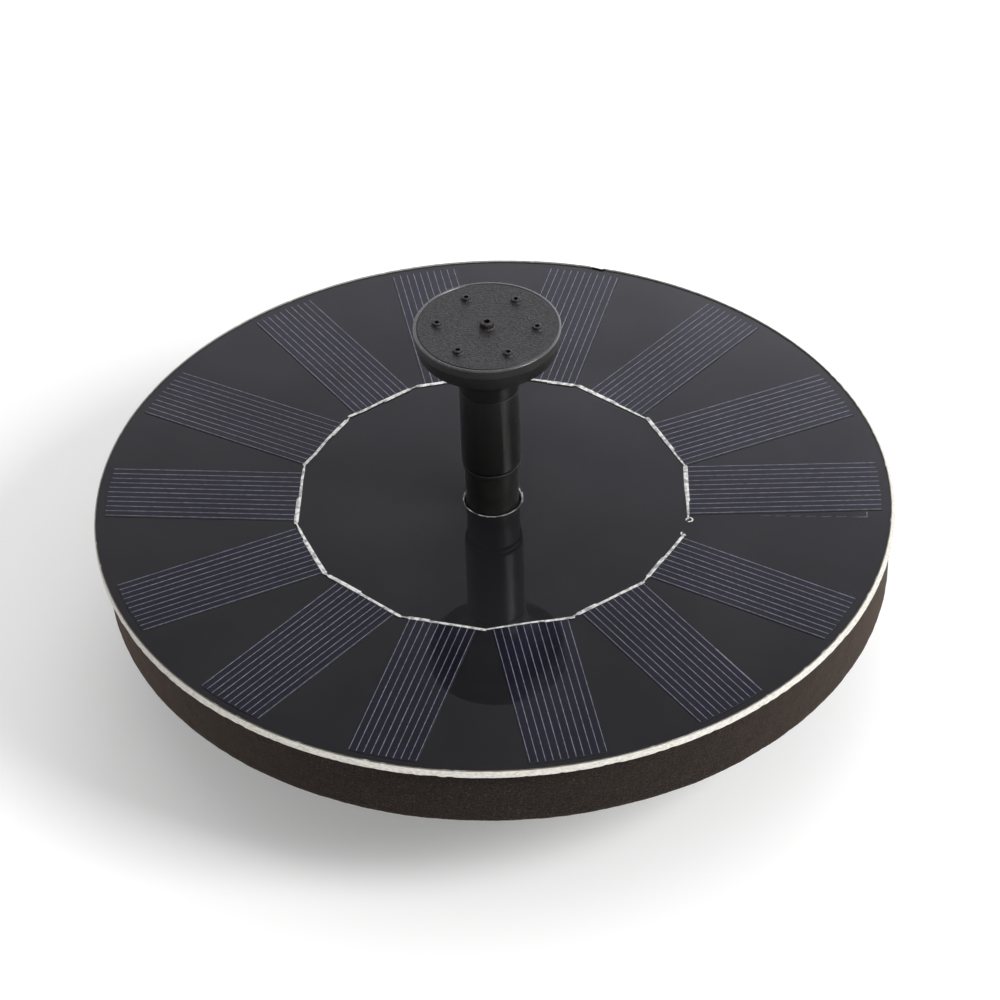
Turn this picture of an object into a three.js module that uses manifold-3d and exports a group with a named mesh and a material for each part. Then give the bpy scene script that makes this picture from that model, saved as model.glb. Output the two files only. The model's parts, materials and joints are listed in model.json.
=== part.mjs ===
// A floating solar fountain pump: a round solar panel on a foam ring, a small brushless
// pump under its middle, and a spray head on a riser tube above it.
//
// Millimetres, +Z up. The origin is on the fountain's axis, at the height of the pump's feet.
// +Y is towards the back of the pump, where its cable comes out.

import * as THREE from 'three';
import { mergeVertices } from 'three/addons/utils/BufferGeometryUtils.js';
import Module from 'manifold-3d';

const wasm = await Module();
wasm.setup();

// ---------------------------------------------------------------- driving dimensions

const PANEL_TOP = 38.25; // height of the film's upper face

const BOARD_RADIUS = 80;
const BOARD_HOLE_RADIUS = 5.75;
const BOARD_BOTTOM = 37.02;
const BOARD_THICKNESS = 0.88;
const BOARD_EDGE_FOOT = 0.3; // upright part of the cut edge, which slants in above it
const LIP_WIDTH = 0.05; // crest of the board's lip, which stands round the film's edge
const LIP_DEPTH = 0.05; // of the crest below the film's upper face

const FILM_RADIUS = 79.16;
const FILM_HOLE_RADIUS = 6.18;
const FILM_THICKNESS = 0.1;

// The cells and the ribbons are laid by hand, so their steps vary. Degrees, counter-clockwise
// from +X; ribbon 1 runs from the first corner to the second, across the end of cell 1.
// A cell's middle line misses the panel's centre by its offset, and most cells carry 11 fingers.
const CELLS = [
  { angle: -1, offset: 1.05, fingers: 11 },
  { angle: 22.2, offset: 0.35, fingers: 11 },
  { angle: 47.4, offset: 0.65, fingers: 10 },
  { angle: 73.8, offset: 0.3, fingers: 11 },
  { angle: 99.9, offset: -0.1, fingers: 10 },
  { angle: 123.4, offset: 0.65, fingers: 10 },
  { angle: 150.6, offset: 0.15, fingers: 11 },
  { angle: 175, offset: 0.9, fingers: 11 },
  { angle: 203.9, offset: -1.6, fingers: 11 },
  { angle: 228, offset: 0.8, fingers: 11 },
  { angle: 252.2, offset: 1.5, fingers: 10 },
  { angle: 279, offset: 0.4, fingers: 11 },
  { angle: 303.2, offset: 1.55, fingers: 11 },
  { angle: 328.4, offset: 0.65, fingers: 10 },
];
const RIBBON_CORNERS = [
  -12.6, 11.4, 36.8, 62.6, 87.5, 112.4, 136.8, 162.4,
  189, 213.2, 242.2, 267, 292.1, 316.8, 340.5,
];
const FINGER_PITCH = 1.45;
const CELL_MARGIN = 0.28; // of bare cell beside its outer fingers
const CELL_INNER = 38.6;
const CELL_OUTER_RADIUS = 77.4;
const CELL_BOTTOM = 37.93;
const CELL_THICKNESS = 0.1;

const RIBBON_CORNER_RADIUS = 39.6; // corners of the polygon the ribbons lie on
const RIBBON_WIDTH = 1.1;
const RIBBON_END_GAP = 0.3;
const RIBBON_BOTTOM = 38.05;
const RIBBON_THICKNESS = 0.08;

const RING_OUTER_RADIUS = 78.3;
const RING_INNER_RADIUS = 47;
const RING_SHIFT = 0.83; // the foam ring is stuck on a little off the centre
const RING_BOTTOM = 24.07;
const RING_TOP = 36.65;
const ADHESIVE_BOTTOM = 36.7;
const ADHESIVE_TOP = 36.97;
const ADHESIVE_MARGIN = 1.5;

const SHAFT_X = -6; // the shaft runs along Y, beside the outlet's axis
const SHAFT_Z = 16;

// The housing's sizes count from the shaft's axis.
const HOUSING_HALF_WIDTH = 15;
const HOUSING_FRONT = -6.5;
const HOUSING_BACK = 28;
const HOUSING_LOW = -14.5;
const HOUSING_HIGH = 20;
const HOUSING_CORNER = 4;
const FOOT_SIZE = 6;
const FOOT_INSET = 1.5;

const VOLUTE_RADIUS = 9;
const VOLUTE_BACK = 3.5;
const SEAL_SEAT_FRONT = -3.9;
const COVER_RECESS_RADIUS = 12.2;
const WELL_RADIUS = 5.4;
const WELL_BACK = 19;
const REAR_SEAT_RADIUS = 2.2;
const REAR_SEAT_BACK = 21.5;
const CAN_RADIUS = 6.4;
const CAN_BACK = 22.5;
const MOTOR_BAY_RADIUS = 12.6;
const MOTOR_BAY_FRONT = 5.5;

const OUTLET_BORE_RADIUS = 3;
const SPIGOT_RADIUS = 5.27;
const COLLAR_RADIUS = 5.75;
const COLLAR_LOW = PANEL_TOP + 8.8;
const COLLAR_TOP = PANEL_TOP + 9.7;
const PLUG_RADIUS = 4.4; // both plugs that enter the riser tube
const PLUG_TOP = PANEL_TOP + 18;

const RISER_RADIUS = 5.89;
const RISER_BORE_RADIUS = 4.48;
const RISER_LOW = PANEL_TOP + 9.95;
const RISER_TOP = PANEL_TOP + 28.1;

// The spray head's heights count from the film's upper face.
const HEAD_PLUG_LOW = 22;
const HEAD_NECK_LOW = 28.3;
const HEAD_NECK_RADIUS = 6;
const HEAD_DISC_LOW = 37.2;
const HEAD_SEAM = 40.8;
const HEAD_TOP = 42.7;
const HEAD_LOW_RADIUS = 13.57;
const HEAD_TOP_RADIUS = 14.33;
const HEAD_BEVEL = 0.3;
const RIM_THICKNESS = 1; // the rim under the plate that centres it in the cup
const RIM_DEPTH = 1.1;
const PLENUM_RADIUS = 12.1;
const PLENUM_FLOOR = 38.9;

const JET_COUNT = 6;
const JET_CIRCLE_RADIUS = 9.7;
const FIRST_JET_ANGLE = 53.5; // degrees
const JET_RADIUS = 0.95;
const JET_HEIGHT = 0.6;
const JET_HOLE_RADIUS = 0.45;
const CENTRE_JET_RADIUS = 1.4;
const CENTRE_JET_HEIGHT = 1.2;
const CENTRE_JET_HOLE_RADIUS = 0.6;

const CORE_FRONT = 8;
const CORE_BACK = 17;
const CORE_RADIUS = 12.4;
const YOKE_INNER_RADIUS = 10.8;
const POLE_COUNT = 4;
const POLE_WIDTH = 3.2;
const SHOE_OUTER_RADIUS = 7.5;
const SHOE_INNER_RADIUS = 6.6;
const SHOE_HALF_ANGLE = 32; // degrees
const COIL_THICKNESS = 1.3;
const COIL_CORNER = 1;
const COIL_CLEARANCE = 0.15;
const COIL_INNER = 7.7;
const COIL_OUTER = 9.9;

const DRIVER_FRONT = 19.6;
const DRIVER_THICKNESS = 1;
const DRIVER_RADIUS = 12.2;
const CHIP_SEAT = 0.5; // depth of each chip's root in the board
const POTTING_FRONT = 23.2;
const POTTING_BACK = 27.4;
const POTTING_RADIUS = 12.4;

const SHAFT_RADIUS = 1;
const SHAFT_FRONT = -6;
const SHAFT_BACK = 21.2;
const ROTOR_BORE_RADIUS = 1.08;
const CARRIER_RADIUS = 2.25;
const CARRIER_BACK = 17.3;
const WASHER_RADIUS = 2.1;
const WASHER_THICKNESS = 0.6;
const MAGNET_RADIUS = 4.9;
const MAGNET_FRONT = 6;
const MAGNET_BACK = 17;

const IMPELLER_RADIUS = 7.5;
const IMPELLER_FRONT = -2.8;
const SHROUD_FRONT = 1.6;
const SHROUD_BACK = 2.6;
const BLADE_COUNT = 5;
const BLADE_THICKNESS = 0.9;
const BLADE_SWEEP = 55; // degrees that a blade leans back from hub to rim

const COVER_RADIUS = 12;
const COVER_FRONT = -6.4;
const COVER_FLANGE_BACK = -5;
const COVER_BACK = -4.1;
const COVER_PLUG_RADIUS = 8.8;
const INLET_RADIUS = 4.8;
const INLET_ARMS = 3;
const BOSS_RADIUS = 2.5;
const FRONT_SEAT_RADIUS = 1.9;
const SEAL_RADIUS = 10.45;
const SEAL_THICKNESS = 0.84;

const STRAINER_FRONT = -19;
const STRAINER_BACK = -6.7;
const STRAINER_WALL = 1.6;
const SLOT_COUNT = 6;
const SLOT_PITCH = 4;
const SLOT_WIDTH = 1.8;
const SLOT_MARGIN = 5; // from a slot's end to the strainer's edge
const FLANK_SLOTS = [-14.6, -11.4]; // places along the shaft
const CLIP_THICKNESS = 1;
const CLIP_WIDTH = 8;
const CLIP_REACH = 6;
const CLIP_ROOT = 3; // length of the clip's root on the strainer's flank
const CLIP_ROOT_DEPTH = 0.5; // how far that root enters the flank
const CLIP_GAP = 0.15; // between a clip and the housing's flank

const CABLE_RADIUS = 1.5;
const CABLE_HOLE_RADIUS = 1.65;
const CABLE_RISE = 8; // height of the cable above the shaft where it leaves the housing
const CABLE_BEND_RADIUS = 6;
const GROMMET_RADIUS = 3;
const GROMMET_LENGTH = 3;
const JUNCTION_RADIUS = 6.5;
const JUNCTION_HEIGHT = 4.4;
const JUNCTION_FACE_RADIUS = 4.5; // of its flat underside
const JUNCTION_SHOULDER_RADIUS = 5.9;
const JUNCTION_Y = 37;

const FIT_GAP = 0.05; // between pieces that touch on the real thing
const PASS = 1; // how far a cutting shape runs past the face it cuts

const FINE = 80; // sides of the panel's circles
const ROUND = 40; // sides of the tubes and of the head
const SMALL = 20; // sides of the pump's small round pieces
const TINY = 12; // sides of the jets

// ---------------------------------------------------------------- materials

const finish = (color, roughness, metalness = 0) =>
  new THREE.MeshStandardMaterial({ color, roughness, metalness });

const LOOKS = {
  board: finish(0xe4e0d6, 0.6),
  film: finish(0x2e2e33, 0.08),
  cell: finish(0x2c2c3c, 0.3),
  ribbon: finish(0xc9cdd2, 0.35, 1),
  foam: finish(0x2a2724, 0.95),
  adhesive: finish(0xd8d4c8, 0.8),
  pad: finish(0x3a3a3a, 0.9),
  housing: finish(0x1d1d1e, 0.5),
  nozzle: finish(0x1f1f1f, 0.45),
  jets: finish(0x353434, 0.6),
  iron: finish(0x6d6f72, 0.45, 1),
  copper: finish(0xb06a3a, 0.35, 1),
  circuit: finish(0x1f5a34, 0.5),
  potting: finish(0x141414, 0.35),
  magnet: finish(0x4a4b4f, 0.5, 0.6),
  impeller: finish(0xe8e6df, 0.45),
  ceramic: finish(0xf2f0ea, 0.25),
  rubber: finish(0x222222, 0.85),
  cable: finish(0x151515, 0.6),
};

// ---------------------------------------------------------------- geometry helpers

const radians = THREE.MathUtils.degToRad;

/** A solid of revolution about Z. The outline's [radius, height] points run counter-clockwise. */
function turned(outline, sides = SMALL) {
  const points = outline.map(([radius, height]) => new THREE.Vector2(radius, height));
  return new THREE.LatheGeometry([...points, points[0]], sides).rotateX(Math.PI / 2);
}

/** A tube about Z, or a rod where the inner radius is left out. */
function ring(outer, inner, low, high, sides = SMALL) {
  return turned([[inner, low], [outer, low], [outer, high], [inner, high]], sides);
}

function rod(radius, low, high, sides = SMALL) {
  return turned([[0, low], [radius, low], [radius, high], [0, high]], sides);
}

/** Turns a shape built about Z so that it lies about Y, with its upper end to the back. */
const alongY = (geometry) => geometry.rotateX(-Math.PI / 2);

/** A box between two corners. */
function block([x0, y0, z0], [x1, y1, z1]) {
  return new THREE.BoxGeometry(x1 - x0, y1 - y0, z1 - z0)
    .translate((x0 + x1) / 2, (y0 + y1) / 2, (z0 + z1) / 2);
}

/** A flat shape given a thickness, from one height to the other. */
function plate(shape, low, high, curveSegments = 6) {
  const options = { depth: high - low, bevelEnabled: false, curveSegments };
  return new THREE.ExtrudeGeometry(shape, options).translate(0, 0, low);
}

/** A rectangle with round corners, between two corner points. */
function roundedRectangle(x0, y0, x1, y1, corner) {
  const shape = new THREE.Shape();
  shape.absarc(x1 - corner, y0 + corner, corner, -Math.PI / 2, 0);
  shape.absarc(x1 - corner, y1 - corner, corner, 0, Math.PI / 2);
  shape.absarc(x0 + corner, y1 - corner, corner, Math.PI / 2, Math.PI);
  shape.absarc(x0 + corner, y0 + corner, corner, Math.PI, 1.5 * Math.PI);
  return shape;
}

/** A rounded box that runs along Y, between two corners. */
function casing([x0, y0, z0], [x1, y1, z1], corner) {
  const outline = roundedRectangle(x0, -z1, x1, -z0, corner);
  return alongY(plate(outline, y0, y1, 4));
}

/** The manifold solid inside a closed geometry. */
function solid(geometry) {
  const bare = geometry.clone();
  bare.deleteAttribute('normal');
  bare.deleteAttribute('uv');
  const merged = mergeVertices(bare, 1e-4);
  const index = merged.index.array;
  const kept = [];
  for (let i = 0; i < index.length; i += 3) {
    const [a, b, c] = [index[i], index[i + 1], index[i + 2]];
    if (a !== b && b !== c && c !== a) {
      kept.push(a, b, c);
    }
  }
  const mesh = new wasm.Mesh({
    numProp: 3,
    vertProperties: new Float32Array(merged.attributes.position.array),
    triVerts: new Uint32Array(kept),
  });
  return new wasm.Manifold(mesh);
}

/** The geometry of a manifold solid, with flat normals. */
function surface(manifold) {
  const mesh = manifold.getMesh();
  const geometry = new THREE.BufferGeometry();
  geometry.setAttribute('position', new THREE.BufferAttribute(mesh.vertProperties, 3));
  geometry.setIndex(new THREE.BufferAttribute(mesh.triVerts, 1));
  geometry.computeVertexNormals();
  return geometry;
}

/** Joins the added geometries, then takes the removed ones away. */
function carve(added, removed = []) {
  let result = solid(added[0]);
  for (const geometry of added.slice(1)) {
    result = result.add(solid(geometry));
  }
  for (const geometry of removed) {
    result = result.subtract(solid(geometry));
  }
  return surface(result);
}

function piece(name, geometry, material) {
  const mesh = new THREE.Mesh(geometry, material.clone());
  mesh.name = name;
  return mesh;
}

const numbered = (name, index) => `${name}_${String(index + 1).padStart(2, '0')}`;

// ---------------------------------------------------------------- solar panel and float

function panelBoard() {
  const top = BOARD_BOTTOM + BOARD_THICKNESS;
  const lip = FILM_RADIUS + FIT_GAP;
  return piece('panel_board', turned([
    [BOARD_HOLE_RADIUS, BOARD_BOTTOM],
    [BOARD_RADIUS, BOARD_BOTTOM],
    [BOARD_RADIUS, BOARD_BOTTOM + BOARD_EDGE_FOOT],
    [lip + LIP_WIDTH, PANEL_TOP - LIP_DEPTH],
    [lip, PANEL_TOP - LIP_DEPTH],
    [lip, top],
    [BOARD_HOLE_RADIUS, top],
  ], FINE), LOOKS.board);
}

function panelFilm() {
  const bottom = PANEL_TOP - FILM_THICKNESS;
  return piece(
    'panel_film',
    ring(FILM_RADIUS, FILM_HOLE_RADIUS, bottom, PANEL_TOP, FINE),
    LOOKS.film,
  );
}

/** One cell along +X: straight sides, a straight inner end and an outer end on the circle. */
function solarCell(index) {
  const { angle, offset, fingers } = CELLS[index];
  const halfWidth = ((fingers - 1) * FINGER_PITCH) / 2 + CELL_MARGIN;
  const [right, left] = [offset - halfWidth, offset + halfWidth];
  const outline = new THREE.Shape();
  outline.moveTo(CELL_INNER, left);
  outline.lineTo(CELL_INNER, right);
  const [start, end] = [right, left].map((y) => Math.asin(y / CELL_OUTER_RADIUS));
  outline.absarc(0, 0, CELL_OUTER_RADIUS, start, end);
  const cell = piece(
    numbered('solar_cell', index),
    plate(outline, CELL_BOTTOM, CELL_BOTTOM + CELL_THICKNESS),
    LOOKS.cell,
  );
  cell.rotation.z = radians(angle);
  return cell;
}

/** One side of the ribbon polygon, across the inner end of one cell. */
function cellRibbon(index) {
  const [from, to] = [RIBBON_CORNERS[index], RIBBON_CORNERS[index + 1]];
  const halfSpan = radians(to - from) / 2;
  const distance = RIBBON_CORNER_RADIUS * Math.cos(halfSpan);
  const halfLength = RIBBON_CORNER_RADIUS * Math.sin(halfSpan) - RIBBON_END_GAP / 2;
  const ribbon = piece(
    numbered('cell_ribbon', index),
    block(
      [distance - RIBBON_WIDTH / 2, -halfLength, RIBBON_BOTTOM],
      [distance + RIBBON_WIDTH / 2, halfLength, RIBBON_BOTTOM + RIBBON_THICKNESS],
    ),
    LOOKS.ribbon,
  );
  ribbon.rotation.z = radians(from) + halfSpan;
  return ribbon;
}

function floatRing() {
  return piece(
    'float_ring',
    ring(RING_OUTER_RADIUS, RING_INNER_RADIUS, RING_BOTTOM, RING_TOP, FINE),
    LOOKS.foam,
  );
}

function ringAdhesive() {
  return piece(
    'ring_adhesive',
    ring(
      RING_OUTER_RADIUS - ADHESIVE_MARGIN,
      RING_INNER_RADIUS + ADHESIVE_MARGIN,
      ADHESIVE_BOTTOM,
      ADHESIVE_TOP,
      ROUND,
    ),
    LOOKS.adhesive,
  );
}

/** The blob-shaped cap over the panel's two solder joints, open below for the cable. */
function junctionCap() {
  const high = BOARD_BOTTOM - FIT_GAP;
  const low = high - JUNCTION_HEIGHT;
  const cap = piece(
    'junction_cap',
    turned([
      [CABLE_HOLE_RADIUS, low],
      [JUNCTION_FACE_RADIUS, low],
      [JUNCTION_SHOULDER_RADIUS, low + JUNCTION_HEIGHT / 5],
      [JUNCTION_RADIUS, low + JUNCTION_HEIGHT / 2],
      [JUNCTION_RADIUS, high],
      [CABLE_HOLE_RADIUS, high],
    ]),
    LOOKS.potting,
  );
  cap.position.set(SHAFT_X, JUNCTION_Y, 0);
  return cap;
}

// ---------------------------------------------------------------- pump, about its shaft

const OUTLET_X = -SHAFT_X; // the outlet's axis, counted from the shaft

/** Everything of the housing that stands on the outlet's axis, in the pump's own heights. */
function spigot() {
  const height = (z) => z - SHAFT_Z;
  return turned([
    [0, height(SHAFT_Z + VOLUTE_RADIUS)],
    [SPIGOT_RADIUS, height(SHAFT_Z + VOLUTE_RADIUS)],
    [SPIGOT_RADIUS, height(COLLAR_LOW)],
    [COLLAR_RADIUS, height(COLLAR_LOW + 0.25)],
    [COLLAR_RADIUS, height(COLLAR_TOP)],
    [PLUG_RADIUS, height(COLLAR_TOP)],
    [PLUG_RADIUS, height(PLUG_TOP - 0.6)],
    [PLUG_RADIUS - 0.4, height(PLUG_TOP)],
    [0, height(PLUG_TOP)],
  ], ROUND).translate(OUTLET_X, 0, 0);
}

/** Four feet under the housing's corners. */
function feet() {
  const across = HOUSING_HALF_WIDTH - HOUSING_CORNER - FOOT_SIZE / 2;
  const near = HOUSING_FRONT + FOOT_INSET + FOOT_SIZE / 2;
  const far = HOUSING_BACK - FOOT_INSET - FOOT_SIZE / 2;
  const places = [[-across, near], [across, near], [-across, far], [across, far]];
  return places.map(([x, y]) => block(
    [x - FOOT_SIZE / 2, y - FOOT_SIZE / 2, -SHAFT_Z],
    [x + FOOT_SIZE / 2, y + FOOT_SIZE / 2, HOUSING_LOW + PASS],
  ));
}

function motorHousing() {
  const body = casing(
    [-HOUSING_HALF_WIDTH, HOUSING_FRONT, HOUSING_LOW],
    [HOUSING_HALF_WIDTH, HOUSING_BACK, HOUSING_HIGH],
    HOUSING_CORNER,
  );
  const outletBore = rod(OUTLET_BORE_RADIUS, 0, PLUG_TOP - SHAFT_Z + PASS)
    .translate(OUTLET_X, 0, 0);
  const motorBay = carve(
    [alongY(rod(MOTOR_BAY_RADIUS, MOTOR_BAY_FRONT, HOUSING_BACK + PASS, ROUND))],
    [alongY(rod(CAN_RADIUS, MOTOR_BAY_FRONT - PASS, CAN_BACK))],
  );
  return piece('motor_housing', carve([body, spigot(), ...feet()], [
    alongY(rod(COVER_RECESS_RADIUS, HOUSING_FRONT - PASS, SEAL_SEAT_FRONT, ROUND)),
    alongY(rod(VOLUTE_RADIUS, HOUSING_FRONT - PASS, VOLUTE_BACK, ROUND)),
    alongY(rod(WELL_RADIUS, HOUSING_FRONT - PASS, WELL_BACK)),
    alongY(rod(REAR_SEAT_RADIUS, WELL_BACK - PASS, REAR_SEAT_BACK)),
    outletBore,
    motorBay,
  ]), LOOKS.housing);
}

/** A laminated ring with four poles pointing inwards, each with a curved shoe. */
function statorCore() {
  const outline = new THREE.Shape();
  const sides = SMALL * 2;
  const rim = Array.from({ length: sides }, (_, i) => (i * 2 * Math.PI) / sides);
  outline.setFromPoints(rim.map((angle) =>
    new THREE.Vector2(CORE_RADIUS * Math.cos(angle), CORE_RADIUS * Math.sin(angle))));
  const inside = new THREE.Path();
  const shoe = radians(SHOE_HALF_ANGLE);
  const rootAngle = Math.asin(POLE_WIDTH / 2 / YOKE_INNER_RADIUS);
  const neckAngle = Math.asin(POLE_WIDTH / 2 / SHOE_OUTER_RADIUS);
  const step = (2 * Math.PI) / POLE_COUNT;
  for (let pole = 0; pole < POLE_COUNT; pole += 1) {
    const middle = pole * step;
    inside.absarc(0, 0, SHOE_INNER_RADIUS, middle - shoe, middle + shoe);
    inside.absarc(0, 0, SHOE_OUTER_RADIUS, middle + shoe, middle + neckAngle, true);
    inside.absarc(0, 0, YOKE_INNER_RADIUS, middle + rootAngle, middle + step - rootAngle);
    inside.absarc(0, 0, SHOE_OUTER_RADIUS, middle + step - neckAngle, middle + step - shoe, true);
  }
  outline.holes.push(inside);
  return piece('stator_core', alongY(plate(outline, CORE_FRONT, CORE_BACK, 2)), LOOKS.iron);
}

/** One winding round a pole, built about +X and turned to its pole about Y. */
function statorCoil(index) {
  const halfWidth = POLE_WIDTH / 2 + COIL_CLEARANCE;
  const halfLength = (CORE_BACK - CORE_FRONT) / 2 + COIL_CLEARANCE;
  const outerHalfWidth = halfWidth + COIL_THICKNESS;
  const outerHalfLength = halfLength + COIL_THICKNESS;
  const outline = roundedRectangle(
    -outerHalfWidth,
    -outerHalfLength,
    outerHalfWidth,
    outerHalfLength,
    COIL_CORNER,
  );
  const hole = new THREE.Path();
  hole.moveTo(-halfWidth, -halfLength);
  hole.lineTo(-halfWidth, halfLength);
  hole.lineTo(halfWidth, halfLength);
  hole.lineTo(halfWidth, -halfLength);
  outline.holes.push(hole);
  const winding = plate(outline, COIL_INNER, COIL_OUTER, 3)
    .rotateY(Math.PI / 2)
    .translate(0, (CORE_FRONT + CORE_BACK) / 2, 0);
  const coil = piece(`stator_coil_${index + 1}`, winding, LOOKS.copper);
  coil.rotation.y = (index * 2 * Math.PI) / POLE_COUNT;
  return coil;
}

/** A round circuit board about the can, with a driver chip, a sensor and a capacitor. */
function driverBoard() {
  const back = DRIVER_FRONT + DRIVER_THICKNESS;
  const hole = CAN_RADIUS + 0.3;
  const chip = (x0, x1, z0, z1, height) => block([x0, back - CHIP_SEAT, z0], [x1, back + height, z1]);
  return piece('driver_board', carve([
    alongY(ring(DRIVER_RADIUS, hole, DRIVER_FRONT, back, ROUND)),
    chip(-2.5, 2.5, -11.2, -7.4, 1.4),
    chip(8, 10.5, -2, 2, 1.2),
    chip(-10.8, -7.8, -1.6, 1.6, 1.8),
  ]), LOOKS.circuit);
}

function pottingSeal() {
  const cableHole = alongY(rod(CABLE_HOLE_RADIUS, POTTING_FRONT - PASS, POTTING_BACK + PASS, TINY))
    .translate(0, 0, CABLE_RISE);
  return piece('potting_seal', carve(
    [alongY(rod(POTTING_RADIUS, POTTING_FRONT, POTTING_BACK, ROUND))],
    [cableHole],
  ), LOOKS.potting);
}

function rotorMagnet() {
  const bore = CARRIER_RADIUS + FIT_GAP;
  return piece(
    'rotor_magnet',
    alongY(ring(MAGNET_RADIUS, bore, MAGNET_FRONT, MAGNET_BACK)),
    LOOKS.magnet,
  );
}

/** A blade that leans back from the hub to the rim, as a bent strip of even thickness. */
function impellerBlade(turn) {
  const inner = CARRIER_RADIUS - 0.4;
  const stations = 5;
  const along = (side) => Array.from({ length: stations + 1 }, (_, i) => {
    const share = i / stations;
    const radius = inner + share * (IMPELLER_RADIUS - inner);
    const angle = turn - radians(BLADE_SWEEP) * share;
    const offset = (side * BLADE_THICKNESS) / 2 / radius;
    return new THREE.Vector2(
      radius * Math.cos(angle + offset),
      radius * Math.sin(angle + offset),
    );
  });
  const outline = new THREE.Shape([...along(-1), ...along(1).reverse()]);
  return alongY(plate(outline, IMPELLER_FRONT + 0.4, SHROUD_FRONT + 0.3));
}

function impeller() {
  const hub = alongY(rod(CARRIER_RADIUS, IMPELLER_FRONT, CARRIER_BACK));
  const shroud = alongY(rod(IMPELLER_RADIUS, SHROUD_FRONT, SHROUD_BACK, ROUND));
  const step = (2 * Math.PI) / BLADE_COUNT;
  const blades = Array.from({ length: BLADE_COUNT }, (_, i) => impellerBlade(i * step));
  const bore = alongY(rod(ROTOR_BORE_RADIUS, IMPELLER_FRONT - PASS, CARRIER_BACK + PASS));
  return piece('impeller', carve([hub, shroud, ...blades], [bore]), LOOKS.impeller);
}

function ceramicShaft() {
  return piece('ceramic_shaft', alongY(rod(SHAFT_RADIUS, SHAFT_FRONT, SHAFT_BACK)), LOOKS.ceramic);
}

function shaftBush(name, radius, front, back) {
  const bore = SHAFT_RADIUS + FIT_GAP;
  return piece(name, alongY(ring(radius - FIT_GAP, bore, front, back)), LOOKS.rubber);
}

function thrustWasher(name, front) {
  return piece(
    name,
    alongY(ring(WASHER_RADIUS, ROTOR_BORE_RADIUS, front, front + WASHER_THICKNESS)),
    LOOKS.ceramic,
  );
}

/** The flanged lid of the volute, with a three-armed inlet that holds the front bush. */
function chamberCover() {
  const lid = alongY(turned([
    [INLET_RADIUS, COVER_FRONT],
    [COVER_RADIUS, COVER_FRONT],
    [COVER_RADIUS, COVER_FLANGE_BACK],
    [COVER_PLUG_RADIUS, COVER_FLANGE_BACK],
    [COVER_PLUG_RADIUS, COVER_BACK],
    [INLET_RADIUS, COVER_BACK],
  ], ROUND));
  const boss = alongY(rod(BOSS_RADIUS, COVER_FRONT, COVER_BACK));
  const halfArm = 0.7;
  const arms = Array.from({ length: INLET_ARMS }, (_, i) => block(
    [0, COVER_FRONT, -halfArm],
    [INLET_RADIUS + 0.5, COVER_BACK, halfArm],
  ).rotateY((i * 2 * Math.PI) / INLET_ARMS));
  const seat = alongY(rod(FRONT_SEAT_RADIUS, COVER_FRONT - PASS, COVER_BACK + PASS));
  return piece('chamber_cover', carve([lid, boss, ...arms], [seat]), LOOKS.housing);
}

function coverSeal() {
  const middle = (COVER_FLANGE_BACK + SEAL_SEAT_FRONT) / 2;
  const corners = 6;
  const outline = Array.from({ length: corners }, (_, i) => {
    const angle = (i * 2 * Math.PI) / corners;
    return [
      SEAL_RADIUS + (SEAL_THICKNESS / 2) * Math.cos(angle),
      middle + (SEAL_THICKNESS / 2) * Math.sin(angle),
    ];
  });
  return piece('cover_seal', alongY(turned(outline, ROUND)), LOOKS.rubber);
}

/** The intake grille: a rounded cup with slots in front and on its flanks, and two side clips. */
function strainerCover() {
  const shell = casing(
    [-HOUSING_HALF_WIDTH, STRAINER_FRONT, HOUSING_LOW],
    [HOUSING_HALF_WIDTH, STRAINER_BACK, HOUSING_HIGH],
    HOUSING_CORNER,
  );
  const hollow = casing(
    [-HOUSING_HALF_WIDTH + STRAINER_WALL, STRAINER_FRONT + STRAINER_WALL, HOUSING_LOW + STRAINER_WALL],
    [HOUSING_HALF_WIDTH - STRAINER_WALL, STRAINER_BACK + PASS, HOUSING_HIGH - STRAINER_WALL],
    HOUSING_CORNER - STRAINER_WALL,
  );
  const slotLow = HOUSING_LOW + SLOT_MARGIN;
  const slotHigh = HOUSING_HIGH - SLOT_MARGIN;
  const frontSlots = Array.from({ length: SLOT_COUNT }, (_, i) => {
    const x = (i - (SLOT_COUNT - 1) / 2) * SLOT_PITCH;
    return block(
      [x - SLOT_WIDTH / 2, STRAINER_FRONT - PASS, slotLow],
      [x + SLOT_WIDTH / 2, STRAINER_FRONT + STRAINER_WALL + PASS, slotHigh],
    );
  });
  const flankSlots = FLANK_SLOTS.map((y) => block(
    [-HOUSING_HALF_WIDTH - PASS, y - SLOT_WIDTH / 2, slotLow],
    [HOUSING_HALF_WIDTH + PASS, y + SLOT_WIDTH / 2, slotHigh],
  ));
  const clips = [-1, 1].flatMap((side) => {
    const inner = HOUSING_HALF_WIDTH + CLIP_GAP;
    const outer = inner + CLIP_THICKNESS;
    const root = HOUSING_HALF_WIDTH - CLIP_ROOT_DEPTH;
    const between = (a, b) => [Math.min(side * a, side * b), Math.max(side * a, side * b)];
    const [x0, x1] = between(inner, outer);
    const [r0, r1] = between(root, outer);
    return [
      block(
        [x0, STRAINER_BACK - CLIP_ROOT, -CLIP_WIDTH / 2],
        [x1, STRAINER_BACK + CLIP_REACH, CLIP_WIDTH / 2],
      ),
      block(
        [r0, STRAINER_BACK - CLIP_ROOT, -CLIP_WIDTH / 2],
        [r1, STRAINER_BACK, CLIP_WIDTH / 2],
      ),
    ];
  });
  return piece(
    'strainer_cover',
    carve([shell, ...clips], [hollow, ...frontSlots, ...flankSlots]),
    LOOKS.housing,
  );
}

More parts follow.
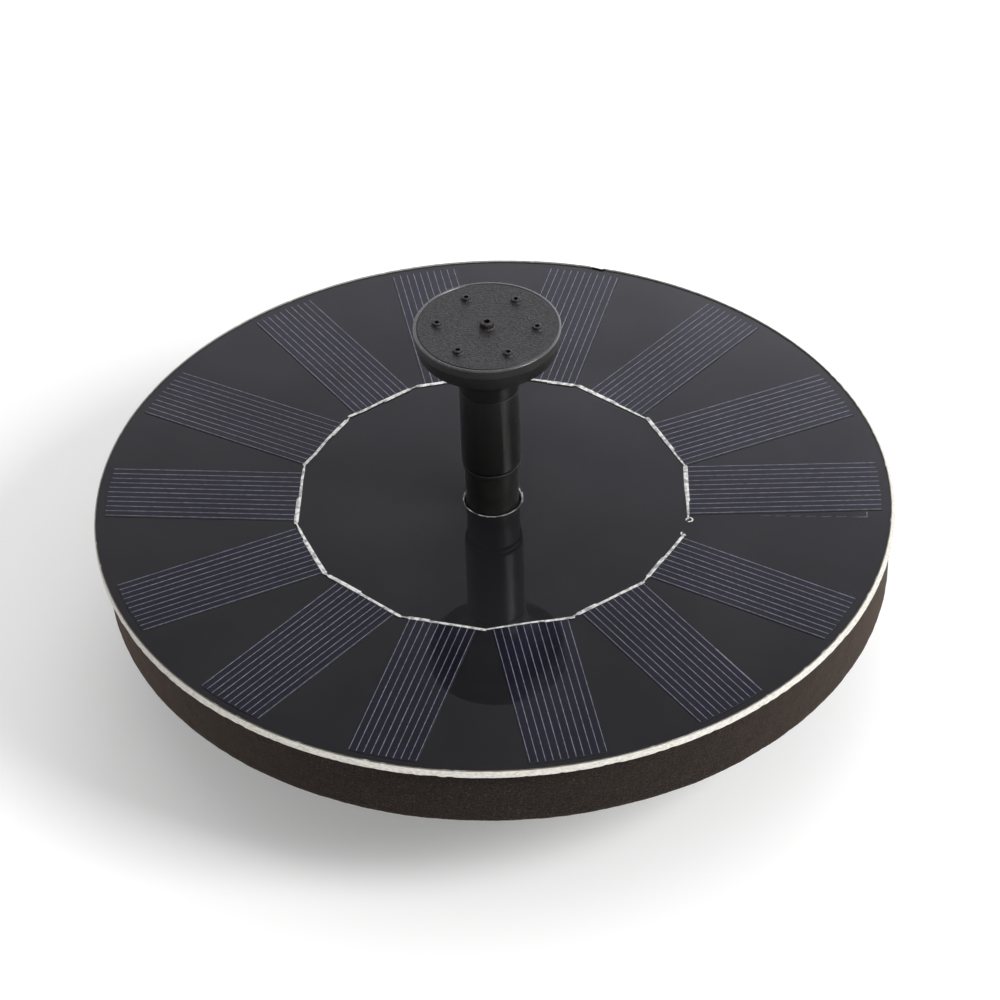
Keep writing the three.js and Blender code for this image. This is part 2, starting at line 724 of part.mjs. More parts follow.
function cableGrommet() {
  const front = POTTING_BACK + 2 * FIT_GAP;
  return piece(
    'cable_grommet',
    alongY(turned([
      [CABLE_HOLE_RADIUS, front],
      [GROMMET_RADIUS, front],
      [GROMMET_RADIUS - 0.6, front + GROMMET_LENGTH],
      [CABLE_HOLE_RADIUS, front + GROMMET_LENGTH],
    ])).translate(0, 0, CABLE_RISE),
    LOOKS.rubber,
  );
}

/** Out of the potting towards the back, round one bend and up into the junction cap. */
function powerCable() {
  const bendStart = JUNCTION_Y - CABLE_BEND_RADIUS;
  const top = BOARD_BOTTOM - SHAFT_Z - 0.3;
  const bend = (degrees) => new THREE.Vector3(
    0,
    bendStart + CABLE_BEND_RADIUS * Math.sin(radians(degrees)),
    CABLE_RISE + CABLE_BEND_RADIUS * (1 - Math.cos(radians(degrees))),
  );
  const path = new THREE.CurvePath();
  path.add(new THREE.LineCurve3(new THREE.Vector3(0, POTTING_FRONT - 0.8, CABLE_RISE), bend(0)));
  const turns = [0, 18, 36, 54, 72, 90];
  turns.slice(1).forEach((angle, i) => {
    path.add(new THREE.LineCurve3(bend(turns[i]), bend(angle)));
  });
  path.add(new THREE.LineCurve3(bend(90), new THREE.Vector3(0, JUNCTION_Y, top)));
  const section = new THREE.Shape();
  section.absarc(0, 0, CABLE_RADIUS, 0, 2 * Math.PI);
  const options = { extrudePath: path, steps: 20, curveSegments: TINY / 2, bevelEnabled: false };
  return piece('power_cable', new THREE.ExtrudeGeometry(section, options), LOOKS.cable);
}

/** The sticky foam sheet between the housing's top and the board, open round the spigot. */
function pumpMountPad() {
  const low = SHAFT_Z + HOUSING_HIGH + FIT_GAP;
  const high = BOARD_BOTTOM - FIT_GAP;
  const left = SHAFT_X - HOUSING_HALF_WIDTH + HOUSING_CORNER;
  const right = SHAFT_X + HOUSING_HALF_WIDTH;
  const sheet = roundedRectangle(left, HOUSING_FRONT + 0.5, right - 0.5, HOUSING_BACK - 1, 1);
  const hole = new THREE.Path();
  hole.absarc(0, 0, SPIGOT_RADIUS + 0.4, 0, 2 * Math.PI, true);
  sheet.holes.push(hole);
  return piece('pump_mount_pad', plate(sheet, low, high, TINY / 2), LOOKS.pad);
}

// ---------------------------------------------------------------- riser and spray head

function riserTube() {
  return piece('riser_tube', turned([
    [RISER_BORE_RADIUS, RISER_LOW],
    [RISER_RADIUS - 0.35, RISER_LOW],
    [RISER_RADIUS, RISER_LOW + 0.35],
    [RISER_RADIUS, RISER_TOP],
    [RISER_BORE_RADIUS, RISER_TOP],
  ], ROUND), LOOKS.nozzle);
}

/** Plug, flared neck and shallow cup, bored through and open at the top. */
function sprayCup() {
  return piece('spray_cup', turned([
    [OUTLET_BORE_RADIUS, HEAD_PLUG_LOW],
    [PLUG_RADIUS - 0.3, HEAD_PLUG_LOW],
    [PLUG_RADIUS, HEAD_PLUG_LOW + 0.5],
    [PLUG_RADIUS, HEAD_NECK_LOW],
    [HEAD_NECK_RADIUS, HEAD_NECK_LOW],
    [HEAD_NECK_RADIUS + 0.25, HEAD_NECK_LOW + 3.2],
    [HEAD_NECK_RADIUS + 1, HEAD_NECK_LOW + 6],
    [HEAD_NECK_RADIUS + 3, HEAD_DISC_LOW - 0.9],
    [HEAD_LOW_RADIUS - 1.2, HEAD_DISC_LOW],
    [HEAD_LOW_RADIUS, HEAD_DISC_LOW + 0.5],
    [HEAD_TOP_RADIUS - 0.1, HEAD_SEAM],
    [PLENUM_RADIUS, HEAD_SEAM],
    [PLENUM_RADIUS, PLENUM_FLOOR],
    [HEAD_NECK_RADIUS, PLENUM_FLOOR - 0.6],
    [OUTLET_BORE_RADIUS, HEAD_NECK_LOW + 5],
  ], ROUND).translate(0, 0, PANEL_TOP), LOOKS.nozzle);
}

/** The perforated top: a disc with a locating rim below and raised jets above. */
function sprayPlate() {
  const low = HEAD_SEAM + FIT_GAP;
  const rim = PLENUM_RADIUS - 2 * FIT_GAP;
  const rimInner = rim - RIM_THICKNESS;
  const disc = turned([
    [0, low],
    [rimInner, low],
    [rimInner, low - RIM_DEPTH],
    [rim, low - RIM_DEPTH],
    [rim, low],
    [HEAD_TOP_RADIUS, low],
    [HEAD_TOP_RADIUS, HEAD_TOP - HEAD_BEVEL],
    [HEAD_TOP_RADIUS - HEAD_BEVEL, HEAD_TOP],
    [0, HEAD_TOP],
  ], ROUND);
  const jets = [{
    x: 0,
    y: 0,
    radius: CENTRE_JET_RADIUS,
    height: CENTRE_JET_HEIGHT,
    hole: CENTRE_JET_HOLE_RADIUS,
  }];
  for (let i = 0; i < JET_COUNT; i += 1) {
    const angle = radians(FIRST_JET_ANGLE + (i * 360) / JET_COUNT);
    jets.push({
      x: JET_CIRCLE_RADIUS * Math.cos(angle),
      y: JET_CIRCLE_RADIUS * Math.sin(angle),
      radius: JET_RADIUS,
      height: JET_HEIGHT,
      hole: JET_HOLE_RADIUS,
    });
  }
  const bosses = jets.map(({ x, y, radius, height }) =>
    rod(radius, HEAD_TOP - 0.5, HEAD_TOP + height, TINY).translate(x, y, 0));
  const holes = jets.map(({ x, y, hole, height }) =>
    rod(hole, low - PASS, HEAD_TOP + height + PASS, TINY).translate(x, y, 0));
  return piece(
    'spray_plate',
    carve([disc, ...bosses], holes).translate(0, 0, PANEL_TOP),
    LOOKS.jets,
  );
}

// ---------------------------------------------------------------- assembly

function floatAssembly() {
  const group = new THREE.Group();
  group.add(panelBoard(), panelFilm());
  CELLS.forEach((_, i) => group.add(solarCell(i), cellRibbon(i)));
  const foam = new THREE.Group();
  foam.position.x = RING_SHIFT;
  foam.add(floatRing(), ringAdhesive());
  group.add(foam, junctionCap(), pumpMountPad());
  return group;
}

function pumpAssembly() {
  const group = new THREE.Group();
  group.position.set(SHAFT_X, 0, SHAFT_Z);
  group.add(motorHousing(), statorCore());
  for (let i = 0; i < POLE_COUNT; i += 1) {
    group.add(statorCoil(i));
  }
  group.add(
    driverBoard(),
    pottingSeal(),
    ceramicShaft(),
    shaftBush('front_bush', FRONT_SEAT_RADIUS, COVER_FRONT + 0.2, COVER_BACK + 0.2),
    shaftBush('rear_bush', REAR_SEAT_RADIUS, WELL_BACK + 0.1, REAR_SEAT_BACK - 0.1),
    thrustWasher('front_washer', IMPELLER_FRONT - 0.9),
    thrustWasher('rear_washer', CARRIER_BACK + 0.4),
    rotorMagnet(),
    impeller(),
    chamberCover(),
    coverSeal(),
    strainerCover(),
    cableGrommet(),
    powerCable(),
  );
  return group;
}

function fountainAssembly() {
  const group = new THREE.Group();
  group.add(riserTube(), sprayCup(), sprayPlate());
  return group;
}

const fountain = new THREE.Group();
fountain.add(floatAssembly(), pumpAssembly(), fountainAssembly());

export default fountain;
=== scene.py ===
import json
import math
import random

import bmesh
import bpy
from mathutils import Matrix, Vector, noise


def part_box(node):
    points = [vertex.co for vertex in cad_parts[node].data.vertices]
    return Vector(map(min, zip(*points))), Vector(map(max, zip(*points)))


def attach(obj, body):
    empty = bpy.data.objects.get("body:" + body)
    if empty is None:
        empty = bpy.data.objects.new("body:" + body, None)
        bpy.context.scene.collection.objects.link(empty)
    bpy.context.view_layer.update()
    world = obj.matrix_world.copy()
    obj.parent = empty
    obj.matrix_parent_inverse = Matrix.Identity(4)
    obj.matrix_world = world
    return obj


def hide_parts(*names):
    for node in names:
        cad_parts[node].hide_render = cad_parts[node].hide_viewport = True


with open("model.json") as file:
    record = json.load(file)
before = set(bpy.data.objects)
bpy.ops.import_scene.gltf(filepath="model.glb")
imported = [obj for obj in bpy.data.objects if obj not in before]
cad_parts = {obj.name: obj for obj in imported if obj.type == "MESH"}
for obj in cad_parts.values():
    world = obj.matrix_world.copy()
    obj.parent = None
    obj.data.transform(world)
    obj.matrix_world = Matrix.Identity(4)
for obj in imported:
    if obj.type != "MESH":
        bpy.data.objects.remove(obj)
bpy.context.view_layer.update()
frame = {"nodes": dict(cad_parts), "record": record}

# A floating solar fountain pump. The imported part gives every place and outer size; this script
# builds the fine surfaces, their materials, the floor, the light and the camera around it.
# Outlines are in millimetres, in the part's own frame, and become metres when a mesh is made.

MM = 0.001
ALONG_Y = Matrix.Rotation(-math.pi / 2, 4, "X")  # lays a shape built about Z along Y
BODY_OF = {
    node: body
    for body, members in frame["record"]["behaviour"]["bodies"].items()
    for node in members
}


# ---------------- places taken from the frame, and sizes used in several places

def box(node):
    """The lowest and the highest corner of a CAD node, in millimetres."""
    low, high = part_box(node)
    return low / MM, high / MM


def corners_of(node):
    """The different corner points of a CAD node, in millimetres."""
    found = {tuple(round(c / MM, 3) for c in v.co) for v in frame["nodes"][node].data.vertices}
    return [Vector(point) for point in sorted(found)]


def ring_of(node):
    """The centre of a round CAD node, its inner and outer radius, its lower and upper height."""
    low, high = box(node)
    centre = Vector(((low.x + high.x) / 2, (low.y + high.y) / 2, 0))
    inner = min((p - centre).xy.length for p in corners_of(node))
    return centre, inner, (high.x - low.x) / 2, low.z, high.z


BOARD_LOW, BOARD_HIGH = box("panel_board")
FILM_LOW, FILM_HIGH = box("panel_film")
PANEL_TOP = FILM_HIGH.z
BOARD_RADIUS = BOARD_HIGH.x
BOARD_TOP = BOARD_LOW.z + 0.88  # inside the low lip that stands round the film
FILM_RADIUS = FILM_HIGH.x
BOARD_HOLE = 5.75
FILM_HOLE = 6.18

SHAFT_LOW, SHAFT_HIGH = box("ceramic_shaft")
SHAFT = Vector(((SHAFT_LOW.x + SHAFT_HIGH.x) / 2, 0, (SHAFT_LOW.z + SHAFT_HIGH.z) / 2))
TO_SHAFT = Matrix.Translation(SHAFT)
CABLE = (0, 0, 8)  # from the shaft to the middle of the cable's exit

FINGER_PITCH = 1.45
FINGER_WIDTH = 0.13
FINGER_HEIGHT = 0.012
CELL_MARGIN = 0.28
CELL_MIDDLE = 60  # a cell's inner corners lie inside this radius

JET_COUNT = 6
JET_CIRCLE = 9.7
FIRST_JET = 53.5  # degrees


# ---------------- mesh helpers

def rounded(corners, steps=5):
    """An outline whose corners, given as (x, y) or (x, y, radius), are turned into arcs."""
    points = []
    for i, corner in enumerate(corners):
        here = Vector(corner[:2])
        if len(corner) < 3:
            points.append(here)
            continue
        before = Vector(corners[i - 1][:2]) - here
        after = Vector(corners[(i + 1) % len(corners)][:2]) - here
        half = before.angle(after) / 2
        reach = min(corner[2] / math.tan(half), 0.49 * before.length, 0.49 * after.length)
        radius = reach * math.tan(half)
        middle = (before.normalized() + after.normalized()).normalized()
        centre = here + middle * radius / math.sin(half)
        start = here + before.normalized() * reach - centre
        end = here + after.normalized() * reach - centre
        turn = start.angle_signed(end)
        for k in range(steps + 1):
            spoke = start.copy()
            spoke.rotate(Matrix.Rotation(-turn * k / steps, 2))
            points.append(centre + spoke)
    return [(p.x, p.y) for p in points]


def rectangle(x0, y0, x1, y1, radius, steps=5):
    """A rectangle with round corners."""
    return rounded([(x0, y0, radius), (x1, y0, radius), (x1, y1, radius), (x0, y1, radius)], steps)


def circle(radius, count, x=0, y=0):
    """Points evenly round a circle."""
    angles = [2 * math.pi * i / count for i in range(count)]
    return [(x + radius * math.cos(a), y + radius * math.sin(a)) for a in angles]


def subdivided(outline, length, wander=None):
    """The closed outline with each side cut into parts of about a length, and maybe moved."""
    points = []
    for (x0, y0), (x1, y1) in zip(outline, outline[1:] + outline[:1]):
        parts = max(1, round(math.hypot(x1 - x0, y1 - y0) / length(x0, x1)))
        for i in range(parts):
            away = wander(x0, y0, i) if wander else 0
            points.append((x0 + (x1 - x0) * i / parts + away, y0 + (y1 - y0) * i / parts + away))
    return points


def loft(bm, loops, closed=False, capped=True):
    """Faces from each loop of points to the next. The ends are joined, capped or left open."""
    rings = [[bm.verts.new(point) for point in loop] for loop in loops]
    pairs = list(zip(rings, rings[1:]))
    faces = []
    if closed:
        pairs.append((rings[-1], rings[0]))
    elif capped:
        faces = [bm.faces.new(rings[0]), bm.faces.new(rings[-1])]
    for a, b in pairs:
        count = max(len(a), len(b))
        for i in range(count if count > 1 else 0):
            k = (i + 1) % count
            around = [a[i % len(a)], a[k % len(a)], b[k % len(b)], b[i % len(b)]]
            faces.append(bm.faces.new(list(dict.fromkeys(around))))
    return faces


def revolve(outline, sides=96, place=(0, 0, 0), turn=Matrix(), ripple=None, bm=None):
    """Sweeps (radius, height) points about Z. They close on themselves or end on the axis."""
    bm = bmesh.new() if bm is None else bm
    move = Matrix.Translation(place) @ turn
    loops = []
    for radius, height in outline:
        loop = []
        for i in range(sides if radius > 1e-6 else 1):
            angle = 2 * math.pi * i / sides
            r, z = ripple(radius, height, angle) if ripple else (radius, height)
            loop.append(move @ Vector((r * math.cos(angle), r * math.sin(angle), z)))
        loops.append(loop)
    loft(bm, loops, closed=True)
    return bm


def prism(outline, low, high, holes=(), turn=Matrix()):
    """A flat outline, with its holes, given a thickness along Z and then turned."""
    bm = bmesh.new()
    edges = []
    for loop in (outline, *holes):
        ring = [bm.verts.new((x, y, low)) for x, y in loop]
        edges += [bm.edges.new(pair) for pair in zip(ring, ring[1:] + ring[:1])]
    filled = bmesh.ops.triangle_fill(bm, edges=edges, use_beauty=True, use_dissolve=not holes)
    faces = [g for g in filled["geom"] if isinstance(g, bmesh.types.BMFace)]
    raised = bmesh.ops.extrude_face_region(bm, geom=faces)["geom"]
    upper = [g for g in raised if isinstance(g, bmesh.types.BMVert)]
    bmesh.ops.translate(bm, vec=(0, 0, high - low), verts=upper)
    bm.transform(turn)
    return bm


def rounded_box(bm, low, high, radius, steps=3):
    """A box between two corners, with all its edges rounded."""
    low, high = Vector(low), Vector(high)
    size = Matrix.Diagonal((*(high - low), 1))
    cube = bmesh.ops.create_cube(bm, size=1, matrix=Matrix.Translation((low + high) / 2) @ size)
    edges = {edge for vert in cube["verts"] for edge in vert.link_edges}
    bmesh.ops.bevel(bm, geom=list(edges), offset=radius, segments=steps, profile=0.5, affect="EDGES")
    return bm


def crisp(mesh, angle):
    """Smooth shading, with edges sharper than the angle kept sharp."""
    bm = bmesh.new()
    bm.from_mesh(mesh)
    for face in bm.faces:
        face.smooth = True
    for edge in bm.edges:
        edge.smooth = not (edge.is_manifold and edge.calc_face_angle(0) > math.radians(angle))
    bm.to_mesh(mesh)
    bm.free()


def make(name, bm, *materials, angle=35):
    """Turns a bmesh in millimetres into an object in metres."""
    bmesh.ops.remove_doubles(bm, verts=bm.verts, dist=1e-4)
    bmesh.ops.scale(bm, vec=(MM, MM, MM), verts=bm.verts)
    bmesh.ops.recalc_face_normals(bm, faces=bm.faces)
    mesh = bpy.data.meshes.new(name)
    bm.to_mesh(mesh)
    bm.free()
    crisp(mesh, angle)
    for material in materials:
        mesh.materials.append(material)
    obj = bpy.data.objects.new(name, mesh)
    bpy.context.scene.collection.objects.link(obj)
    return obj


def combine(obj, operation, bm, angle=35):
    """Joins a second shape to an object, or cuts it away, and keeps the result as its mesh."""
    tool = make("tool", bm, *obj.data.materials)
    step = obj.modifiers.new("combine", "BOOLEAN")
    step.operation, step.solver, step.object = operation, "EXACT", tool
    depsgraph = bpy.context.evaluated_depsgraph_get()
    mesh = bpy.data.meshes.new_from_object(obj.evaluated_get(depsgraph))
    mesh.name = obj.name
    obj.modifiers.clear()
    obj.data = mesh
    bpy.data.objects.remove(tool)
    crisp(mesh, angle)


def add(bm, other):
    """Puts a second loose shape into the same bmesh."""
    mesh = bpy.data.meshes.new("loose")
    other.to_mesh(mesh)
    other.free()
    bm.from_mesh(mesh)
    bpy.data.meshes.remove(mesh)


def paint(bm, index):
    """Gives every face of a bmesh one of its object's materials."""
    for face in bm.faces:
        face.material_index = index
    return bm


def tube(points, radius, sides):
    """A closed round rod along a line of points."""
    loops = []
    side = Vector((1, 0, 0))
    for i, point in enumerate(points):
        along = (points[min(i + 1, len(points) - 1)] - points[max(i - 1, 0)]).normalized()
        side = (side - along * side.dot(along)).normalized()
        up = along.cross(side)
        loops.append([point + side * x + up * y for x, y in circle(radius, sides)])
    bm = bmesh.new()
    loft(bm, loops)
    return bm


def stand_for(obj, node):
    """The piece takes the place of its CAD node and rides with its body."""
    shading = obj.modifiers.new("even shading", "WEIGHTED_NORMAL")
    shading.keep_sharp = True
    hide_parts(node)
    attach(obj, BODY_OF[node])


def uneven(angle, lobes, seed):
    """A smooth number between about -1 and 1 that varies round a circle."""
    return noise.noise(Vector((lobes * math.cos(angle), lobes * math.sin(angle), seed)))


# ---------------- material helpers

WHITE = (1, 1, 1, 1)
MIX_FIRST, MIX_SECOND, MIX_RESULT = 6, 7, 2  # the colour sockets of a mix node


def srgb(red, green, blue):
    """A colour given as it looks on a screen, from 0 to 255."""
    def linear(value):
        share = value / 255
        return share / 12.92 if share <= 0.04045 else ((share + 0.055) / 1.055) ** 2.4
    return linear(red), linear(green), linear(blue), 1


def fill(node, inputs):
    """Gives a shader node's inputs their values, or links them to the outputs they are given."""
    for name, value in inputs.items():
        if isinstance(value, bpy.types.NodeSocket):
            node.id_data.links.new(value, node.inputs[name])
        else:
            node.inputs[name].default_value = value
    return node


def shade(tree, kind, output, inputs, **settings):
    """One output of a new shader node, whose inputs are filled."""
    node = tree.nodes.new("ShaderNode" + kind)
    for name, value in settings.items():
        setattr(node, name, value)
    return fill(node, inputs).outputs[output]


def spread(tree, value, low, high, start=0.35, end=0.65):
    """Maps the middle part of a texture's range onto low to high."""
    limits = {"From Min": start, "From Max": end, "To Min": low, "To Max": high}
    return shade(tree, "MapRange", "Result", {"Value": value, **limits})


class Finish:
    """A Principled material and the textures that vary it, with sizes in millimetres."""

    def __init__(self, name, inputs):
        self.material = bpy.data.materials.new(name)
        self.material.use_nodes = True
        self.tree = self.material.node_tree
        self.shader = fill(self.tree.nodes["Principled BSDF"], inputs)
        self.place = self.add("TexCoord", "Object", {})
        self.colour = self.normal = None

    def add(self, kind, output, inputs, **settings):
        return shade(self.tree, kind, output, inputs, **settings)

    def grain(self, size, detail=2.0, stretch=(1, 1, 1)):
        """Soft noise whose patches are about the given size."""
        scale = [1 / (size * MM * s) for s in stretch]
        place = self.add("Mapping", "Vector", {"Vector": self.place, "Scale": scale})
        return self.add("TexNoise", "Fac", {"Vector": place, "Scale": 1, "Detail": detail})

    def cells(self, size):
        """Distance from the middles of cells of about the given size."""
        return self.add("TexVoronoi", "Distance", {"Vector": self.place, "Scale": 1 / (size * MM)})

    def vary_colour(self, texture, first, second, start=0.35, end=0.65):
        """Lets a texture choose between two colours; the first may be the pattern so far."""
        share = spread(self.tree, texture, 0, 1, start, end)
        inputs = {"Factor": share, MIX_FIRST: first, MIX_SECOND: second}
        self.colour = self.add("Mix", MIX_RESULT, inputs, data_type="RGBA")
        fill(self.shader, {"Base Color": self.colour})

    def vary_roughness(self, texture, low, high):
        fill(self.shader, {"Roughness": spread(self.tree, texture, low, high)})

    def bump(self, height, depth):
        """Adds relief of the given depth to what is there."""
        under = {"Normal": self.normal} if self.normal else {}
        self.normal = self.add("Bump", "Normal", {"Distance": depth * MM, "Height": height, **under})
        fill(self.shader, {"Normal": self.normal})


def moulded(name, dark, light, roughness, grain=0.35, depth=0.012, gloss_change=0.06, shine=0.5):
    """Injection-moulded plastic: faint mottling, fine spark-eroded grain, uneven gloss."""
    look = Finish(name, {"Specular IOR Level": shine})
    look.vary_colour(look.grain(3.0, 4), dark, light)
    look.vary_roughness(look.grain(2.5, 2), roughness - gloss_change, roughness + gloss_change)
    look.bump(look.grain(grain, 3), depth)
    return look.material


def pebbled_plastic():
    """The spray plate's top: black plastic with a coarse pebbled grain whose raised pebbles are coloured
    paler.
    """
    look = Finish("pebbled_plastic", {"Specular IOR Level": 0.44})
    pebbles = look.grain(0.36, 3)
    look.vary_colour(pebbles, srgb(3, 3, 2), srgb(47, 44, 41), 0.38, 0.62)
    look.vary_roughness(look.grain(0.8, 2), 0.42, 0.6)
    look.bump(pebbles, 0.13)
    return look.material


def cut_laminate():
    """The board's bare cream core, with the faint streaks and fibres of its cut edge."""
    look = Finish("cut_laminate", {"Roughness": 0.65})
    streaks = look.grain(0.7, 5, (1, 1, 0.35))
    look.vary_colour(streaks, srgb(184, 181, 173), srgb(218, 215, 207), 0.3, 0.6)
    look.bump(look.grain(0.25, 4), 0.03)
    return look.material


def under_film(name, dark, light, roughness, patches):
    """What lies under the bonded film carries the film's gloss: one sharp, slightly uneven mirror."""
    look = Finish(name, {
        "Roughness": roughness, "Specular IOR Level": 0.05, "Coat Weight": 1.0, "Coat IOR": 1.5,
    })
    look.vary_colour(look.grain(patches, 3), dark, light)
    waves = {"Distance": 0.006 * MM, "Height": look.grain(7, 1)}
    fill(look.shader, {
        "Coat Roughness": spread(look.tree, look.grain(12, 2), 0.008, 0.03),
        "Coat Normal": look.add("Bump", "Normal", waves),
    })
    return look.material


def tinned_ribbon():
    """Solder-coated copper ribbon, crumpled bright and dull."""
    look = Finish("tinned_ribbon", {"Metallic": 0.3})
    patches = look.grain(0.9, 5)
    look.vary_colour(patches, srgb(142, 142, 143), srgb(226, 225, 220), 0.38, 0.56)
    look.vary_roughness(patches, 0.3, 0.55)
    look.bump(look.grain(0.35, 3), 0.1)
    return look.material


def clear_film():
    """Clear film: all but invisible from above, greyish brown along its cut edge."""
    look = Finish("clear_film", {"Roughness": 0.35})
    look.vary_colour(look.grain(2.5, 3), srgb(70, 64, 61), srgb(132, 124, 118))
    haze = spread(look.tree, look.grain(25, 3), 0.97, 1.0)
    clear = look.add("BsdfTransparent", "BSDF", {"Color": haze})
    normal = look.add("NewGeometry", "True Normal", {})
    upward = look.add("SeparateXYZ", "Z", {"Vector": normal})
    flatness = look.add("Math", "Value", {0: upward}, operation="ABSOLUTE")
    edge = spread(look.tree, flatness, 0.7, 0.0, 0.6, 0.9)
    sides = {"Fac": edge, 1: clear, 2: look.shader.outputs["BSDF"]}
    surface = look.add("MixShader", "Shader", sides)
    fill(look.tree.nodes["Material Output"], {"Surface": surface})
    return look.material


def cut_foam():
    """Closed-cell foam cut to shape: brown-black, matte, with a fine grain and pale specks."""
    look = Finish("cut_foam", {
        "Roughness": 0.95, "Sheen Weight": 0.31, "Sheen Roughness": 0.5,
        "Sheen Tint": srgb(190, 165, 150), "Specular IOR Level": 0.12,
    })
    look.vary_colour(look.grain(0.4, 4), srgb(6, 5, 4), srgb(36, 32, 29), 0.36, 0.74)
    look.vary_colour(look.grain(0.3, 1), look.colour, srgb(66, 60, 55), 0.64, 0.74)
    look.bump(look.cells(0.35), 0.08)
    look.bump(look.grain(0.18, 2), 0.05)
    return look.material


def soft_rubber(name, colour, roughness=0.8):
    """Rubber, sheath and tape: one colour, dull, with a fine grain."""
    look = Finish(name, {"Base Color": colour})
    look.vary_roughness(look.grain(1.5, 3), roughness - 0.1, roughness + 0.08)
    look.bump(look.grain(0.2, 3), 0.015)
    return look.material


def poured_epoxy():
    """Black potting compound: glossy, with slow waves and a few dull patches."""
    look = Finish("poured_epoxy", {"Base Color": srgb(20, 20, 21)})
    look.vary_roughness(look.grain(4, 3), 0.15, 0.38)
    look.bump(look.grain(5, 2), 0.25)
    look.bump(look.grain(0.5, 2), 0.01)
    return look.material


def metal(name, dark, light, roughness, grain_size, stretch):
    """Bare metal whose streaks change its tone, its gloss and its relief together."""
    look = Finish(name, {"Metallic": 1.0})
    streaks = look.grain(grain_size, 3, stretch)
    look.vary_colour(streaks, dark, light)
    look.vary_roughness(streaks, roughness - 0.08, roughness + 0.12)
    look.bump(streaks, 0.03)
    return look.material


def plain(name, first, second, roughness, grain_size=1.5, depth=0.01):
    """A non-metal with a slow change of tone and a fine grain."""
    look = Finish(name, {})
    look.vary_colour(look.grain(grain_size, 3), first, second)
    look.vary_roughness(look.grain(grain_size * 0.7, 3), roughness - 0.08, roughness + 0.08)
    look.bump(look.grain(grain_size * 0.3, 3), depth)
    return look.material


BLACK_PLASTIC = moulded("black_plastic", srgb(18, 18, 17), srgb(21, 21, 20), 0.36, 0.4, 0.006, 0.015)
# Paler plastic for the jet plate's rounded rim: a painted highlight along the edge, not a real change of
# colour.
RIM_HIGHLIGHT_PAINT = moulded("pale_rim_painted_highlight", srgb(50, 49, 47), srgb(64, 62, 60), 0.27, 0.4, 0.008, shine=0.95)
HEAD_SIDE = moulded("head_side", srgb(14, 14, 13), srgb(26, 25, 24), 0.5, 0.36, 0.03)
MATTE_BLACK = moulded("matte_black", srgb(19, 19, 18), srgb(24, 24, 22), 0.5)
PUMP_PLASTIC = moulded("pump_plastic", srgb(32, 32, 31), srgb(40, 40, 39), 0.48, 0.5, 0.02)
PEBBLED = pebbled_plastic()
CREAM = cut_laminate()
BACKING = under_film("black_backing", srgb(24, 24, 26), srgb(28, 28, 30), 0.7, 14)
SILICON = under_film("silicon", srgb(17, 17, 27), srgb(21, 20, 34), 0.6, 9)
SILVER = under_film("printed_silver", srgb(98, 98, 110), srgb(136, 136, 150), 0.5, 0.8)
RIBBON = tinned_ribbon()
FILM = clear_film()
FOAM = cut_foam()
RUBBER = soft_rubber("black_rubber", srgb(30, 30, 30))
SHEATH = soft_rubber("cable_sheath", srgb(27, 27, 28), 0.55)
TAPE = soft_rubber("foam_tape", srgb(58, 58, 58), 0.9)
EPOXY = poured_epoxy()
# Grey on the cells' side walls is painted light: it stands in for a lit wall and hides the dark shaded
# line at each cell's edge.
WALL_SHADE_LIFT = plain("cell_wall_painted_light", srgb(62, 62, 65), srgb(70, 70, 73), 0.8)
BARE_CORE = plain("bare_core", srgb(50, 49, 46), srgb(252, 252, 250), 0.5, 2.2)
CUT_SHEET = plain("cut_sheet", srgb(92, 85, 79), srgb(128, 120, 112), 0.6)
ADHESIVE = plain("adhesive_sheet", srgb(214, 208, 192), srgb(228, 224, 212), 0.7)
LAMINATIONS = metal("laminations", srgb(96, 97, 100), srgb(150, 151, 154), 0.42, 0.5, (9, 0.5, 9))
COPPER = metal("enamelled_copper", srgb(122, 60, 30), srgb(196, 112, 62), 0.32, 0.3, (9, 9, 0.8))
FERRITE = plain("ferrite", srgb(58, 59, 62), srgb(74, 75, 79), 0.5, 0.6, 0.03)
ACETAL = plain("acetal", srgb(228, 226, 219), srgb(238, 236, 231), 0.4)
ALUMINA = plain("alumina", srgb(240, 238, 232), srgb(247, 246, 242), 0.2)
CIRCUIT = plain("circuit_board", srgb(24, 78, 44), srgb(34, 98, 58), 0.4, 2.5)


# ---------------- panel and float

def nick(angle):
    """One place at the back where the panel's rim was snipped a little short."""
    start, width, depth = 71.5, 2.2, 0.4
    away = math.degrees(angle) - start
    return depth * (1 - away / width) if 0 <= away < width else 0.0


def rim_wander(angle):
    """How far the film's cut rim strays from its circle, with small burrs."""
    burr = max(0.0, uneven(angle, 70, 12) - 0.3) * 0.3
    return 0.04 * uneven(angle, 6, 1) + 0.02 * uneven(angle, 60, 2) - burr - nick(angle)


